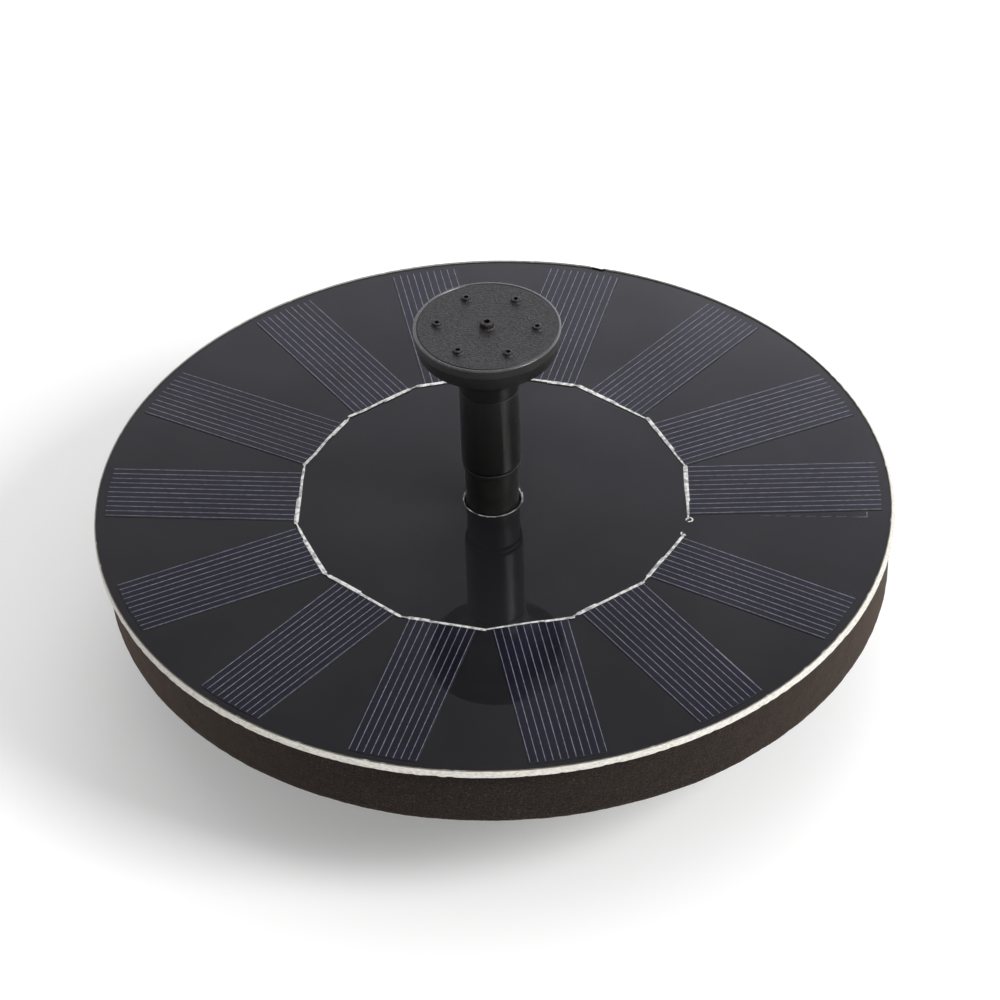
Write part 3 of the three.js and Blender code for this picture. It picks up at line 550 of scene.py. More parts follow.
def board_edge(radius, height, angle):
    """The cut rim and the edge of the black sheet wander a little and carry small burrs."""
    if radius < BOARD_HOLE + 0.2 or FILM_HOLE + 0.2 < radius < FILM_RADIUS - 1:
        return radius, height
    if radius < FILM_HOLE + 0.2:
        lit_side = 0.5 + 0.5 * math.cos(angle + math.radians(15))
        ragged = 0.1 * uneven(angle, 3, 5) + 0.14 * uneven(angle, 12, 6) + 0.1 * uneven(angle, 30, 3)
        bare = 0.12 + 0.2 * lit_side ** 2 + ragged
        return BOARD_HOLE + max(bare, 0.02), height
    if height > BOARD_TOP - 0.05:
        return radius + rim_wander(angle), height
    short = 1.8 * max(0.0, -math.cos(angle) - 0.75)
    wander = 0.05 * uneven(angle, 6, 1) + 0.05 * uneven(angle, 60, 2)
    ragged = 0.0
    if height < BOARD_LOW.z + 0.2:
        ragged = 0.3 * max(0.0, uneven(angle, 45, 4) - 0.1) + 0.35 * max(0.0, uneven(angle, 150, 7) - 0.3)
    return radius - short - abs(wander) - 0.5 * ragged - nick(angle), height + ragged


def film_edge(radius, height, angle):
    """The film's rim follows the black sheet; its hole is cut a little wider."""
    if radius < FILM_HOLE + 1:
        return radius + 0.04 * uneven(angle, 4, 9), height
    return radius - 0.02 + rim_wander(angle), height


def panel_board():
    """The cream board with its slanting cut edge, and the black backing sheet inside the lip."""
    low, high, lip, lip_top = BOARD_LOW.z, BOARD_TOP, FILM_RADIUS + 0.03, BOARD_HIGH.z
    edge = rounded([
        (BOARD_HOLE, low), (BOARD_RADIUS, low, 0.15), (BOARD_RADIUS - 0.04, low + 0.32, 0.15),
        (lip + 0.16, lip_top - 0.13), (lip + 0.05, lip_top), (lip, lip_top),
        (lip, high), (FILM_RADIUS - 1.05, high), (FILM_HOLE, high), (BOARD_HOLE, high),
    ], 3)
    bm = revolve(edge, 900, ripple=board_edge)
    for face in bm.faces:
        middle = face.calc_center_median()
        away = middle.xy.length
        if middle.z > low + 0.1 and FILM_HOLE + 1 < away < lip - 0.1:
            face.material_index = 1
        elif middle.z > high - 0.1 and away < FILM_HOLE + 1:
            face.material_index = 2
        elif middle.z > lip_top - 0.12 and away > lip:
            face.material_index = 3
    board = make("board_plate", bm, CREAM, BACKING, BARE_CORE, CUT_SHEET)
    stand_for(board, "panel_board")


def panel_film():
    """The clear film over the cells; only its cut edge shows."""
    edge = rounded([
        (FILM_HOLE + 0.05, FILM_LOW.z), (FILM_RADIUS, FILM_LOW.z),
        (FILM_RADIUS, PANEL_TOP, 0.03), (FILM_HOLE + 0.05, PANEL_TOP, 0.03),
    ], 2)
    bm = revolve(edge, 900, ripple=film_edge)
    stand_for(make("cover_film", bm, FILM), "panel_film")


def strip(bm, start, right, left, low, high, end_radius):
    """A thin bar along X, from a straight start out to a circle about the centre."""
    steps = 1 if left - right < 2 else 16
    ys = [right + (left - right) * i / steps for i in range(steps + 1)]
    ends = [(math.sqrt(end_radius ** 2 - y * y), y) for y in ys]
    outline = [(start, left), (start, right), *ends]
    return loft(bm, [[(x, y, z) for x, y in outline] for z in (low, high)])


def solar_cell(number):
    """A cell with its printed fingers, laid exactly as its CAD node lies."""
    node = f"solar_cell_{number:02d}"
    high = box(node)[1].z
    points = corners_of(node)
    a, b = [Vector(p) for p in sorted({(p.x, p.y) for p in points if p.xy.length < CELL_MIDDLE})]
    side = (b - a).normalized()
    outward = Vector((side.y, -side.x))
    if outward.dot(a + b) < 0:
        outward.negate()
    turn = Matrix.Rotation(math.atan2(outward.y, outward.x), 4, "Z")
    local = [turn.inverted() @ p for p in points]
    inner = min(p.x for p in local)
    right, left = min(p.y for p in local), max(p.y for p in local)
    outer = max(p.xy.length for p in local)
    bm = bmesh.new()
    # The side walls take the grey painted light that hides their shade.
    for wall in strip(bm, inner, right, left, BOARD_TOP + 0.002, high, outer)[2:]:
        wall.material_index = 2
    count = round((left - right - 2 * CELL_MARGIN) / FINGER_PITCH) + 1
    for i in range(count):
        y = right + CELL_MARGIN + i * FINGER_PITCH + random.uniform(-0.02, 0.02)
        end = outer - 0.1 - random.uniform(0, 0.15)
        half = FINGER_WIDTH / 2 * random.uniform(0.9, 1.1)
        print_line(bm, inner + 0.3, y - half, y + half, high, end)
    if number == 1:
        stray_print(bm, right)
    if number == 13:
        print_line(bm, outer - 15, y - 0.12, y + 0.12, high + 0.001, outer - 2.5)
    bm.transform(turn)
    cell = make(f"cell_{number:02d}", bm, SILICON, SILVER, WALL_SHADE_LIFT, angle=20)
    stand_for(cell, node)


def print_line(bm, start, right, left, base, end, height=FINGER_HEIGHT):
    """One line of silver that ends on a circle about the panel's centre."""
    for face in strip(bm, start, right, left, base + 0.001, base + height, end):
        face.material_index = 1


def stray_print(bm, right):
    """A misprinted line beside the first cell: faint dashes that lead to a small hook."""
    def dash(start, end, away, width, end_away):
        y = right - away
        reach = math.hypot(end, right - end_away)
        print_line(bm, start, y, y + width, BOARD_TOP - 0.006, reach, 0.016)

    for x in range(53, 72, 3):
        drift = 0.9 + (x - 53) * 0.055
        dash(x, x + 1.9, drift, 0.05, drift)
    dash(72.2, 74.1, 1.98, 0.14, 1.98)
    dash(73.98, 74.12, 1.98, 1.58, 1)


def crumpled_ribbon(number):
    """A hand-laid ribbon: overlapped strips of two widths, a thin link, slight kinks and solder."""
    node = f"cell_ribbon_{number:02d}"
    points = corners_of(node)
    middle = sum(points, Vector()) / len(points)
    middle.z = 0
    outward = middle.normalized()
    along = Vector((-outward.y, outward.x, 0))
    half = max((p - middle).dot(along) for p in points) + random.uniform(0.1, 0.35)
    low, high = (corner.z for corner in box(node))
    thick = (high - low) * 0.42
    base = low if number % 2 else high - thick
    link = random.uniform(0.04, 0.1)
    step = random.uniform(0.3, 0.65)
    widths = random.choice(((0.55, 0.84), (0.82, 0.58), (0.48, 0.76), (0.9, 0.62), (0.46, 0.56)))
    knots = [random.uniform(-0.14, 0.14) for _ in range(5)]
    stations, bevel = 90, 0.06
    loops = []
    for i in range(stations + 1):
        share = i / stations
        run = share * (len(knots) - 1)
        k = min(int(run), len(knots) - 2)
        kink = knots[k] + (knots[k + 1] - knots[k]) * (run - k)
        width = widths[share > step] * (0.9 + 0.2 * share)
        if share < link:
            width = 0.34
        elif share > 0.985:
            width *= 0.7
        shift = 0.12 if share > step else -0.05
        left = width / 2 - shift + random.uniform(-0.035, 0.035)
        right = width / 2 + shift + random.uniform(-0.035, 0.035)
        centre = middle + along * (2 * share - 1) * half + outward * kink
        top = base + thick
        worn = top - random.uniform(0, thick * 0.3)
        section = (-left, base), (right, base), (right - bevel, worn), (0, top), (bevel - left, worn)
        loops.append([centre + outward * x + Vector((0, 0, z)) for x, z in section])
    bm = bmesh.new()
    loft(bm, loops)
    ends = {1: (-1, 320), 14: (1, 170)}
    if number in ends:
        side, sweep = ends[number]
        end = middle + along * side * (half - 0.1) + Vector((0, 0, base + thick / 2))
        curl(bm, end, outward, along * side, sweep, thick)
    stand_for(make(f"tab_ribbon_{number:02d}", bm, RIBBON, angle=50), node)


def curl(bm, end, outward, ahead, sweep, thick):
    """The bent-over end of a ribbon: a flat hook or loop of wire."""
    radius, width, steps = 0.62, 0.3, 40
    centre = end + ahead * 0.2 + outward * 0.1
    loops = []
    for i in range(steps + 1):
        angle = math.radians(-200 + sweep * i / steps)
        spoke = outward * math.cos(angle) + ahead * math.sin(angle)
        loops.append([
            centre + spoke * (radius + x * width / 2) + Vector((0, 0, z * thick / 2))
            for x, z in ((-1, -1), (1, -1), (1, 1), (-1, 1))
        ])
    loft(bm, loops)


def foam_surface(point):
    """How far the cut foam stands out: slow waves, small lumps and open pores."""
    slow = 0.1 * noise.noise(point / 22)
    lumps = 0.05 * noise.noise(point / 2.5)
    fine = noise.noise(point / 0.7 + Vector((7, 3, 1)))
    return slow + lumps + 0.04 * fine - 0.14 * max(0.0, fine - 0.25)


def float_ring():
    """The foam float: soft-edged, slightly wavy and porous all over."""
    centre, inner, outer, low, high = ring_of("float_ring")
    outer -= 0.05

    def length(x0, x1):
        """Fine steps up the outer wall, wider ones up the hole and across the faces."""
        wall = 0.5 if x0 > (inner + outer) / 2 else 1.0
        return wall if abs(x1 - x0) < 0.1 else 1.6

    def ripple(radius, height, angle):
        point = Vector((radius * math.cos(angle), radius * math.sin(angle), height))
        out = foam_surface(point)
        if height > high - 0.6:
            out = min(out, 0.0)
        across = 1 if radius > (inner + outer) / 2 else -1
        near_wall = min(abs(radius - inner), abs(radius - outer)) < 0.4
        return radius + across * out * near_wall, height - out * (height < low + 0.4)

    corners = [(inner, low, 0.5), (outer, low, 0.5), (outer, high, 0.3), (inner, high, 0.3)]
    bm = revolve(subdivided(rounded(corners, 3), length), 880, centre, ripple=ripple)
    stand_for(make("foam_float", bm, FOAM, angle=70), "float_ring")


def ring_adhesive():
    """The thin glue sheet between board and foam, with a wavering edge."""
    centre, inner, outer, low, high = ring_of("ring_adhesive")

    def ripple(radius, height, angle):
        return radius + 0.25 * uneven(angle, 5, 8), height

    outline = [(inner, low), (outer, low), (outer, high), (inner, high)]
    bm = revolve(outline, 360, centre, ripple=ripple)
    stand_for(make("glue_ring", bm, ADHESIVE), "ring_adhesive")


# ---------------- pump

def casing(sections):
    """The pump's rounded box along Y: each section is a place on Y and how far it draws in."""
    loops = []
    for y, inset in sections:
        x, low, high = HALF_WIDTH - inset, BODY_LOW + inset, BODY_HIGH - inset
        outline = rectangle(-x, low, x, high, max(CORNER - inset, 0.3), 8)
        loops.append([SHAFT + Vector((px, y, pz)) for px, pz in outline])
    bm = bmesh.new()
    loft(bm, loops)
    return bm


def about_shaft(outline, sides=96, offset=(0, 0, 0), ripple=None):
    """Revolves (radius, y) points about the shaft, or about a line beside it."""
    return revolve(outline, sides, SHAFT + Vector(offset), ALONG_Y, ripple)


def ring_outline(inner, outer, low, high, soft):
    """The outline of a rod or a ring about the shaft, with softened edges."""
    if not inner:
        return rounded([(0, low), (outer, low, soft), (outer, high, soft), (0, high)], 3)
    return rectangle(inner, low, outer, high, soft, 3)


def shaft_rod(radius, low, high, sides=64, soft=0.01):
    """A plain rod about the shaft, for joining and cutting."""
    return about_shaft(ring_outline(0, radius, low, high, soft), sides)


HALF_WIDTH, CORNER = 15, 4
BODY_LOW, BODY_HIGH = -14.5, 20  # from the shaft
BODY_FRONT, BODY_BACK = -6.5, 28


def pump_shell():
    """The moulded pump body: volute, well, motor bay, outlet spigot with collar and plug, feet."""
    sections = [(BODY_FRONT, 0.35), (BODY_FRONT + 0.12, 0.12), (BODY_FRONT + 0.35, 0)]
    for y in (4.2, 23.4):  # grooves where the mouldings meet
        sections += [(y, 0), (y + 0.15, 0.28), (y + 0.5, 0.28), (y + 0.65, 0)]
    sections += [(BODY_BACK - 0.9, 0), (BODY_BACK - 0.3, 0.25), (BODY_BACK, 0.9)]
    shell = make("pump_shell", casing(sections), PUMP_PLASTIC, MATTE_BLACK)
    combine(shell, "UNION", spigot())
    feet = bmesh.new()
    for x in (SHAFT.x - 8, SHAFT.x + 8):
        for y in (-2, 23.5):
            rounded_box(feet, (x - 3, y - 3, 0), (x + 3, y + 3, SHAFT.z + BODY_LOW + 1), 0.5)
    combine(shell, "UNION", feet)
    # the cover's seat, the impeller's chamber, the rotor's well and the rear bush's socket
    for radius, low, high in (
        (12.2, BODY_FRONT - 1, -3.9), (9, BODY_FRONT - 1, 3.5), (5.4, BODY_FRONT - 1, 19),
        (2.2, 18, 21.5),
    ):
        combine(shell, "DIFFERENCE", shaft_rod(radius, low, high, 128))
    bay = [(6.4, 5.5), (12.6, 5.5), (12.6, BODY_BACK + 1), (0, BODY_BACK + 1), (0, 22.5), (6.4, 22.5)]
    combine(shell, "DIFFERENCE", about_shaft(bay, 128))
    bore = [(0, SHAFT.z), (3, SHAFT.z), (3, PANEL_TOP + 20), (0, PANEL_TOP + 20)]
    combine(shell, "DIFFERENCE", revolve(bore, 64))
    stand_for(shell, "motor_housing")


def spigot():
    """The outlet standing through the panel: a round post, a stop collar and the riser's plug."""
    foot, top = SHAFT.z + 10, PANEL_TOP
    corners = [
        (0, foot), (5.27, foot), (5.27, top + 8.8, 0.15), (5.75, top + 8.95, 0.2),
        (5.75, top + 9.7, 0.14), (4.4, top + 9.7, 0.1), (4.4, top + 17.4, 0.3), (4.0, top + 18, 0.15),
        (0, top + 18),
    ]
    return paint(revolve(rounded(corners, 4), 128), 1)


def chamber_lid():
    """The lid of the volute, with a three-armed inlet that holds the front bush."""
    lid = make("chamber_lid", about_shaft(rounded([
        (4.8, -6.4, 0.4), (12, -6.4, 0.2), (12, -5, 0.1), (8.8, -5), (8.8, -4.1, 0.1), (4.8, -4.1),
    ], 3), 128), PUMP_PLASTIC)
    combine(lid, "UNION", shaft_rod(2.5, -6.35, -4.1, soft=0.2))
    for arm in range(3):
        bm = rounded_box(bmesh.new(), (0, -6.3, -0.7), (5.3, -4.15, 0.7), 0.2, 2)
        bm.transform(TO_SHAFT @ Matrix.Rotation(arm * 2 * math.pi / 3, 4, "Y"))
        combine(lid, "UNION", bm)
    combine(lid, "DIFFERENCE", shaft_rod(1.9, -8, -3))
    stand_for(lid, "chamber_cover")


def strainer_cup():
    """The intake grille: a soft-edged cup with round-ended slots and two ribbed side clips."""
    front, back, wall, soft, half_slot = -19, -6.7, 1.6, 1.6, 0.9
    nose = [math.radians(90 * i / 6) for i in range(7)]
    outside = [(front + soft * (1 - math.sin(a)), soft * (1 - math.cos(a))) for a in reversed(nose)]
    cup = make("strainer_cup", casing(outside + [(back - 0.25, 0), (back, 0.25)]), PUMP_PLASTIC)
    for side in (-1, 1):
        combine(cup, "UNION", clip(side, back))
    inside = [(front + wall, wall + 0.8), (front + wall + 0.8, wall), (back + 1, wall)]
    combine(cup, "DIFFERENCE", casing(inside))
    slots = bmesh.new()
    for i in range(6):
        x = (i - 2.5) * 4
        outline = rectangle(x - half_slot, -15, x + half_slot, 9.5, half_slot - 0.01, 8)
        add(slots, prism(outline, front - 1, front + wall + 1, turn=TO_SHAFT @ ALONG_Y))
    across = TO_SHAFT @ Matrix.Rotation(math.pi / 2, 4, "Y")
    for y in (-14.6, -11.4):
        outline = rectangle(-15, y - half_slot, 9.5, y + half_slot, half_slot - 0.01, 8)
        add(slots, prism(outline, -HALF_WIDTH - 1, HALF_WIDTH + 1, turn=across))
    combine(cup, "DIFFERENCE", slots)
    stand_for(cup, "strainer_cover")


def clip(side, back):
    """One side clip: a tongue along the housing's flank, with three grip grooves."""
    corners = [(-0.5, back - 3), (1.15, back - 3, 0.5)]
    for y in (back + 1.4, back + 2.6, back + 3.8):
        corners += [(1.15, y), (0.9, y + 0.2), (1.15, y + 0.4)]
    corners += [(1.15, back + 6, 0.5), (0.15, back + 6, 0.2), (0.15, back), (-0.5, back)]
    placed = [(side * (HALF_WIDTH + x), y) for x, y in rounded(corners, 3)]
    return prism(placed, -4, 4, turn=TO_SHAFT)


def potting():
    """Poured resin: it creeps up the bay's wall and round the cable, and its face is uneven."""
    def ripple(radius, height, angle):
        wave = 0.1 * noise.noise(Vector((radius * math.cos(angle), radius * math.sin(angle), 0)) / 4)
        return radius, height + (wave if height > 25 and radius < 12 else 0)

    face = [(12.4, 27.35), (12.15, 27.15), (11.6, 26.95), (10.5, 26.86), (9, 26.8), (7, 26.76), (5, 26.74)]
    outline = [(0, 23.2), (12.4, 23.2), *face, (3, 26.74), (1.4, 26.74), (0, 26.74)]
    seal = make("potting", about_shaft(outline, ripple=ripple), EPOXY)
    collar = [(0, 26.2), (2.6, 26.5), (2.1, 26.95), (1.85, 27.3), (0, 27.3)]
    combine(seal, "UNION", about_shaft(collar, 48, CABLE))
    combine(seal, "DIFFERENCE", about_shaft(ring_outline(0, 1.65, 22, 29, 0.01), 48, CABLE))
    stand_for(seal, "potting_seal")


def grommet():
    """A rubber sleeve with three strain-relief ribs."""
    outline = rounded([
        (1.65, 27.5), (3, 27.5, 0.15), (3, 28.2, 0.15), (2.4, 28.3, 0.1), (2.4, 28.7, 0.1),
        (2.85, 28.8, 0.15), (2.8, 29.3, 0.15), (2.25, 29.4, 0.1), (2.25, 29.8, 0.1), (2.6, 29.9, 0.15),
        (2.4, 30.5, 0.2), (1.65, 30.5),
    ], 3)
    stand_for(make("grommet", about_shaft(outline, 64, CABLE), RUBBER), "cable_grommet")


def cable():
    """Out of the potting to the back, round one bend and up into the junction cap."""
    low, high = box("power_cable")
    radius, bend, steps = 1.5, 6, 12
    across, rise, far = (low.x + high.x) / 2, SHAFT.z + CABLE[2], high.y - radius
    places = [(low.y + (far - bend - low.y) * i / 8, rise) for i in range(8)]
    for i in range(steps + 1):
        angle = math.radians(90 * i / steps)
        places.append((far - bend + bend * math.sin(angle), rise + bend * (1 - math.cos(angle))))
    places += [(far, (rise + bend + high.z) / 2), (far, high.z)]
    bm = tube([Vector((across, y, z)) for y, z in places], radius, 32)
    stand_for(make("cable", bm, SHEATH, angle=60), "power_cable")


def solder_cap():
    """The lump of resin over the panel's solder joints."""
    centre, _, outer, low, high = ring_of("junction_cap")
    dome_radius, round_edge, bore = outer - 0.1, 3, 1.65

    def ripple(radius, height, angle):
        if radius < 2 or height > high - 0.2:
            return radius, height
        sag = 0.2 + 0.2 * uneven(angle, 2, 4)
        return radius * (1 + 0.035 * uneven(angle, 1.4, 2)) - 0.15, height + sag

    outline = [(bore, low + 0.4), (2.2, low)]
    for i in range(11):
        angle = math.radians(90 * i / 10)
        reach = 3 + (dome_radius - 3) * math.sin(angle)
        outline.append((reach, low + round_edge * (1 - math.cos(angle))))
    outline += [(outer, high), (bore, high)]
    bm = revolve(outline, 96, centre, ripple=ripple)
    stand_for(make("solder_cap", bm, EPOXY), "junction_cap")


def mount_pad():
    """The sticky foam sheet between the pump and the board, with its hand-cut edge."""
    low, high = box("pump_mount_pad")

    def wander(x, y, i):
        return 0.12 * noise.noise(Vector((x, y, i * 0.9)))

    outline = rectangle(low.x, low.y, high.x, high.y, 1.4, 6)
    outline = subdivided(outline, lambda x0, x1: 1.2, wander)
    bm = prism(outline, low.z, high.z, holes=(circle(5.67, 60),))
    stand_for(make("mount_tape", bm, TAPE), "pump_mount_pad")


# ---------------- motor

def core_outline():
    """The rim and the inside of one lamination: four poles, each with a curved shoe."""
    root, neck, shoe = math.asin(1.6 / 10.8), math.asin(1.6 / 7.5), math.radians(32)
    quarter = math.pi / 2
    inside = []
    for middle in (0, quarter, 2 * quarter, 3 * quarter):
        for radius, start, end, steps in (
            (6.6, -shoe, shoe, 12), (7.5, shoe, neck, 4),
            (10.8, root, quarter - root, 12), (7.5, quarter - neck, quarter - shoe, 4),
        ):
            for i in range(steps + 1):
                angle = middle + start + (end - start) * i / steps
                inside.append((radius * math.cos(angle), radius * math.sin(angle)))
    return circle(12.4, 120), inside


def stack_of_sheets():
    """The laminated core: eighteen sheets with a fine groove between neighbours."""
    front, back, sheets = 8, 17, 18
    rows = [(front, 0)]
    for i in range(1, sheets):
        y = front + i * (back - front) / sheets
        rows += [(y - 0.07, 0), (y, 0.07), (y + 0.07, 0)]
    rows.append((back, 0))
    bm = bmesh.new()
    for outline, side in zip(core_outline(), (-1, 1)):
        loops = []
        for y, depth in rows:
            grown = [(x, z, 1 + side * depth / math.hypot(x, z)) for x, z in outline]
            loops.append([SHAFT + Vector((x * grow, y, z * grow)) for x, z, grow in grown])
        loft(bm, loops, capped=False)
    for y in (front, back):
        rim = [e for e in bm.edges if e.is_boundary and abs(e.verts[0].co.y - y) < 0.01]
        bmesh.ops.triangle_fill(bm, edges=rim, use_beauty=True)
    stand_for(make("lamination_stack", bm, LAMINATIONS, angle=20), "stator_core")


def winding(number):
    """A coil round one pole: its section is scalloped by the turns of wire."""
    half_width, half_length, thickness = 1.75, 4.65, 1.3
    turns, near, far, middle_y, scallop = 7, 7.7, 9.9, 12.5, 0.15
    pitch = (far - near) / turns
    section = [(0, near), (thickness - 0.12, near + 0.02)]
    for i in range(turns):
        for step in range(-3, 4):
            angle = math.radians(step * 26)
            out = thickness - scallop + scallop * math.cos(angle)
            section.append((out, near + (i + 0.5) * pitch + pitch / 2 * math.sin(angle)))
    section += [(thickness - 0.12, far - 0.02), (0, far)]
    loops = []
    for out, height in section:
        x, y = half_width + out, half_length + out
        outline = rectangle(-x, -y, x, y, 0.05 + out * 0.85, 6)
        loops.append([Vector((height, middle_y + along, across)) for across, along in outline])
    bm = bmesh.new()
    loft(bm, loops, closed=True)
    bm.transform(TO_SHAFT @ Matrix.Rotation((number - 1) * math.pi / 2, 4, "Y"))
    coil = make(f"winding_{number}", bm, COPPER, angle=50)
    stand_for(coil, f"stator_coil_{number}")


def circuit_disc():
    """The driver board: a ring of laminate with a driver chip, a sensor, a capacitor and solder."""
    ring = about_shaft(ring_outline(6.7, 12.2, 19.6, 20.6, 0.05), 128)
    disc = make("circuit_disc", ring, CIRCUIT, FERRITE, SILVER)
    parts = bmesh.new()
    rounded_box(parts, (-2.3, 20.4, -11), (2.3, 22, -7.6), 0.15, 2)
    rounded_box(parts, (8.2, 20.4, -1.8), (10.3, 21.8, 1.8), 0.2, 2)
    rounded_box(parts, (-10.6, 20.4, -1.4), (-8, 22.4, 1.4), 0.3, 2)
    paint(parts, 1)
    for x in (-1.9, -0.65, 0.65, 1.9):
        for z in (-11.35, -7.25):
            leg = rounded_box(bmesh.new(), (x - 0.2, 20.4, z - 0.3), (x + 0.2, 20.95, z + 0.3), 0.08, 2)
            add(parts, paint(leg, 2))
    parts.transform(TO_SHAFT)
    combine(disc, "UNION", parts)
    stand_for(disc, "driver_board")


def shaft_parts():
    """Shaft, bushes, washers, magnet and seal: small turned pieces about the shaft."""
    pieces = [
        ("pump_shaft", "ceramic", "ceramic_shaft", ALUMINA, (0, 1, -6, 21.2, 0.2)),
        ("bush_front", "rubber", "front_bush", RUBBER, (1.05, 1.85, -6.2, -3.9, 0.12)),
        ("bush_rear", "rubber", "rear_bush", RUBBER, (1.05, 2.15, 19.1, 21.4, 0.12)),
        ("washer_front", "ceramic", "front_washer", ALUMINA, (1.08, 2.1, -3.7, -3.1, 0.08)),
        ("washer_rear", "ceramic", "rear_washer", ALUMINA, (1.08, 2.1, 17.7, 18.3, 0.08)),
        ("magnet_ring", "magnet", "rotor_magnet", FERRITE, (2.3, 4.9, 6, 17, 0.35)),
    ]
    for name, slot_name, node, material, sizes in pieces:
        stand_for(make(name, about_shaft(ring_outline(*sizes)), material), node)
    seal = about_shaft(circle(0.42, 12, 10.45, -4.45), 128)
    stand_for(make("seal_ring", seal, RUBBER, angle=60), "cover_seal")


def blade_outline(turn):
    """A blade that leans back 55 degrees from hub to rim, with a rounded outer end."""
    inner, outer, thick, steps = 1.85, 7.45, 0.9, 12

    def at(share, side):
        radius = inner + (outer - inner) * share
        angle = turn - math.radians(55) * share
        half = thick / 2 * (1 - 0.35 * share) / radius
        return radius * math.cos(angle + side * half), radius * math.sin(angle + side * half)

    shares = [i / steps for i in range(steps + 1)]
    return [at(s, -1) for s in shares] + [at(s, 1) for s in reversed(shares)]


def impeller_wheel():
    """The open impeller on its long hub, which carries the magnet."""
    wheel = make("impeller_wheel", about_shaft(rounded([
        (0, -2.8), (2.25, -2.8, 0.3), (2.25, 1.6, 0.25), (7.5, 1.6, 0.15), (7.5, 2.6, 0.15),
        (2.25, 2.6, 0.2), (2.25, 17.3, 0.2), (0, 17.3),
    ], 4), 128), ACETAL)
    for i in range(5):
        blade = blade_outline(2 * math.pi * i / 5)
        combine(wheel, "UNION", prism(blade, -2.4, 1.9, turn=TO_SHAFT @ ALONG_Y))
    combine(wheel, "DIFFERENCE", shaft_rod(1.08, -4, 19))
    stand_for(wheel, "impeller")


# ---------------- riser and spray head

def riser_pipe():
    """The riser: a plain tube with rounded ends."""
    _, _, radius, low, high = ring_of("riser_tube")
    foot = low + 0.12  # leaves a dark line over the collar
    outline = rounded([
        (4.48, foot, 0.2), (radius, foot, 0.32), (radius, high, 0.12), (4.48, high, 0.1),
    ], 6)
    pipe = make("riser_pipe", revolve(outline, 192), BLACK_PLASTIC)
    stand_for(pipe, "riser_tube")


def nozzle_cup():
    """Plug, flared neck and shallow cup, bored through and open at the top."""
    z = PANEL_TOP
    outline = rounded([
        (3, z + 22, 0.1), (4.1, z + 22, 0.1), (4.4, z + 22.5, 0.2), (4.4, z + 28.3),
        (6, z + 28.3, 0.12), (6.25, z + 31.5, 6), (7, z + 34.3, 4), (9, z + 36.3, 1.2),
        (12.37, z + 37.2, 0.4), (13.57, z + 37.7, 0.5), (14.31, z + 40.8, 0.03), (12.1, z + 40.8, 0.1),
        (12.1, z + 38.9, 0.4), (6, z + 38.3, 1), (3, z + 33.3, 1),
    ], 5)
    bm = revolve(outline, 192)
    for face in bm.faces:
        if face.calc_center_median().xy.length > 13.5:
            face.material_index = 1
    stand_for(make("nozzle_cup", bm, BLACK_PLASTIC, HEAD_SIDE, angle=28), "spray_cup")


def jet_places():
    """Each jet's x, y, radius, height and hole radius."""
    yield 0, 0, 1.4, 1.2, 0.6
    for i in range(JET_COUNT):
        angle = math.radians(FIRST_JET + 360 * i / JET_COUNT)
        yield JET_CIRCLE * math.cos(angle), JET_CIRCLE * math.sin(angle), 0.95, 0.6, 0.45


def jet_plate():
    """The pebbled disc with seven jets, each a small turret with a bored hole."""
    top = box("spray_plate")[1].z - 1.2
    low, groove = PANEL_TOP + 40.85, top - 0.12
    plate = make("jet_plate", revolve(rounded([
        (0, low), (11, low), (11, low - 1.1, 0.2), (12, low - 1.1, 0.2), (12, low), (14.33, low, 0.03),
        (14.33, top, 0.38), (13.84, top, 0.08), (13.75, groove, 0.04), (13.6, groove, 0.04),
        (13.5, top, 0.1), (0, top),
    ], 5), 192), BLACK_PLASTIC, PEBBLED, RIM_HIGHLIGHT_PAINT, HEAD_SIDE)
    for face in plate.data.polygons:
        away = face.center.xy.length / MM
        # The outer rim fillet gets the paler plastic as a painted highlight; the groove just inside it
        # gets the side plastic.
        if face.center.z > (top - 0.38) * MM and away > 13.4:
            face.material_index = 2 if away > 13.78 else 3
        elif face.normal.z > 0.9:
            face.material_index = 1
        elif abs(face.normal.z) < 0.3:
            face.material_index = 3
    turrets, holes = bmesh.new(), bmesh.new()
    for x, y, radius, height, hole in jet_places():
        foot, summit = radius + 0.25, top + height
        outline = rounded([
            (0, top - 0.5), (foot, top - 0.5), (foot, top, 0.01), (radius, top + 0.2, 0.15),
            (radius - 0.05, summit, 0.2), (0, summit),
        ], 4)
        revolve(outline, 48, (x, y, 0), bm=turrets)
        bore = [(0, low - 2), (hole, low - 2), (hole, top + 2), (0, top + 2)]
        revolve(bore, 32, (x, y, 0), bm=holes)
    combine(plate, "UNION", paint(turrets, 1))
    combine(plate, "DIFFERENCE", holes)
    stand_for(plate, "spray_plate")


# ---------------- floor, light and camera

def floor():
    """A plain pale floor under the feet."""
    bm = bmesh.new()
    bmesh.ops.create_circle(bm, cap_ends=True, radius=3000, segments=64)
    look = Finish("floor", {
        "Base Color": (0.9, 0.9, 0.9, 1), "Roughness": 0.9, "Specular IOR Level": 0.0,
        "Emission Color": WHITE, "Emission Strength": 0.19,
    })
    make("floor", bm, look.material)


def softbox(name, place, size, power, mirrored=True):
    """A square area light that faces the middle of the part, in metres."""
    light = bpy.data.lights.new(name, "AREA")
    light.shape, light.size, light.energy = "SQUARE", size, power
    obj = bpy.data.objects.new(name, light)
    obj.location = place
    towards = Vector((0, 0, 0.04)) - Vector(place)
    obj.rotation_euler = towards.to_track_quat("-Z", "Y").to_euler()
    obj.visible_glossy = mirrored
    bpy.context.scene.collection.objects.link(obj)


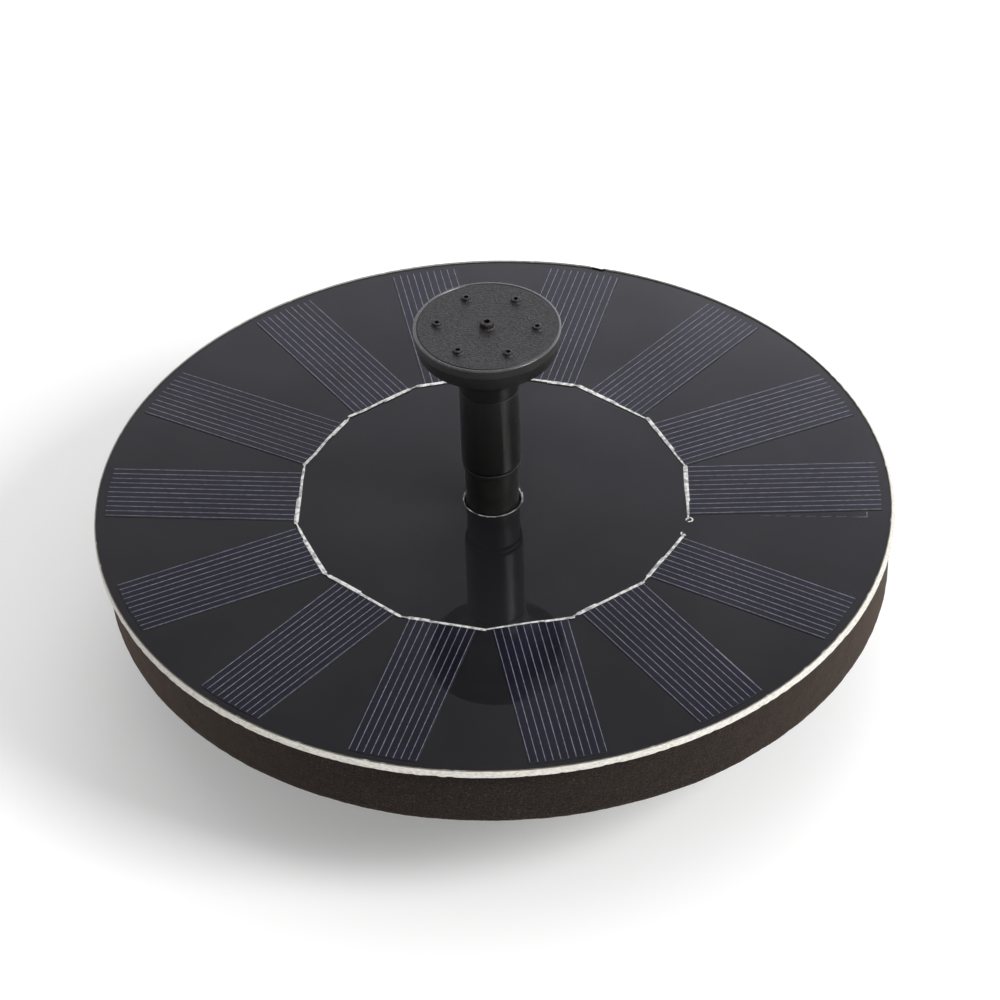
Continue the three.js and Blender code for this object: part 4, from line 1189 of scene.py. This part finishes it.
def surroundings():
    """A studio: even white for matte surfaces; what mirrors see is bright low at the back."""
    world = bpy.data.worlds.new("studio")
    bpy.context.scene.world = world
    world.use_nodes = True
    tree = world.node_tree
    plain_white = fill(tree.nodes["Background"], {"Color": WHITE, "Strength": 0.54})
    direction = shade(tree, "TexCoord", "Generated", {})
    towards = shade(tree, "SeparateXYZ", "Z", {"Vector": direction}).node.outputs
    colour = shade(tree, "ValToRGB", "Color", {"Fac": towards["Z"]})
    stops = colour.node.color_ramp
    stops.interpolation = "B_SPLINE"
    for position, level in (
        (0.0, 0.6), (0.3, 0.65), (0.5, 1.0), (0.56, 0.8), (0.61, 0.42), (0.66, 0.16), (0.72, 0.06),
        (1.0, 0.15),
    ):
        stops.elements.new(position).color = (level, level * 0.99, level * 1.11, 1)
    behind = spread(tree, towards["Y"], 0.25, 1.6, -0.2, 0.4)
    beside = spread(tree, towards["X"], 1.0, 1.85, -0.01, 0.11)
    strength = shade(tree, "Math", "Value", {0: behind, 1: beside}, operation="MULTIPLY")
    seen = shade(tree, "Background", "Background", {"Color": colour, "Strength": strength})
    mirrored = shade(tree, "LightPath", "Is Glossy Ray", {})
    sides = {"Fac": mirrored, 1: plain_white.outputs["Background"], 2: seen}
    fill(tree.nodes["World Output"], {"Surface": shade(tree, "MixShader", "Shader", sides)})


def camera():
    """A long lens, 40 degrees above the panel's middle and tilted a little."""
    rise, distance, tilt = math.radians(39.68), 0.8191, -1.83
    away = Vector((0, -math.cos(rise), math.sin(rise))) * distance
    turn = Matrix.Translation(away + Vector((0, 0, PANEL_TOP * MM)))
    for axis, degrees in (("Z", -0.13), ("X", 50.27), ("Z", tilt)):
        turn @= Matrix.Rotation(math.radians(degrees), 4, axis)
    lens = bpy.data.cameras.new("camera")
    lens.lens, lens.sensor_width, lens.clip_start = 147.86, 36, 0.01
    obj = bpy.data.objects.new("camera", lens)
    obj.matrix_world = turn
    bpy.context.scene.collection.objects.link(obj)
    bpy.context.scene.camera = obj


# ---------------- assembling

random.seed(11)
panel_board()
panel_film()
for k in range(1, 15):
    solar_cell(k)
for k in range(1, 15):
    crumpled_ribbon(k)
float_ring()
ring_adhesive()
pump_shell()
chamber_lid()
strainer_cup()
potting()
grommet()
cable()
solder_cap()
mount_pad()
stack_of_sheets()
for k in range(1, 5):
    winding(k)
circuit_disc()
shaft_parts()
impeller_wheel()
riser_pipe()
nozzle_cup()
jet_plate()

floor()
surroundings()
softbox("key", (0.76, -0.42, 0.72), 0.42, 8.8)
softbox("top", (-0.1, 0.2, 1.1), 0.9, 1.2, mirrored=False)
softbox("back", (0.25, 0.9, 0.7), 0.7, 2.0, mirrored=False)
camera()
bpy.context.scene.view_settings.view_transform = "Standard"
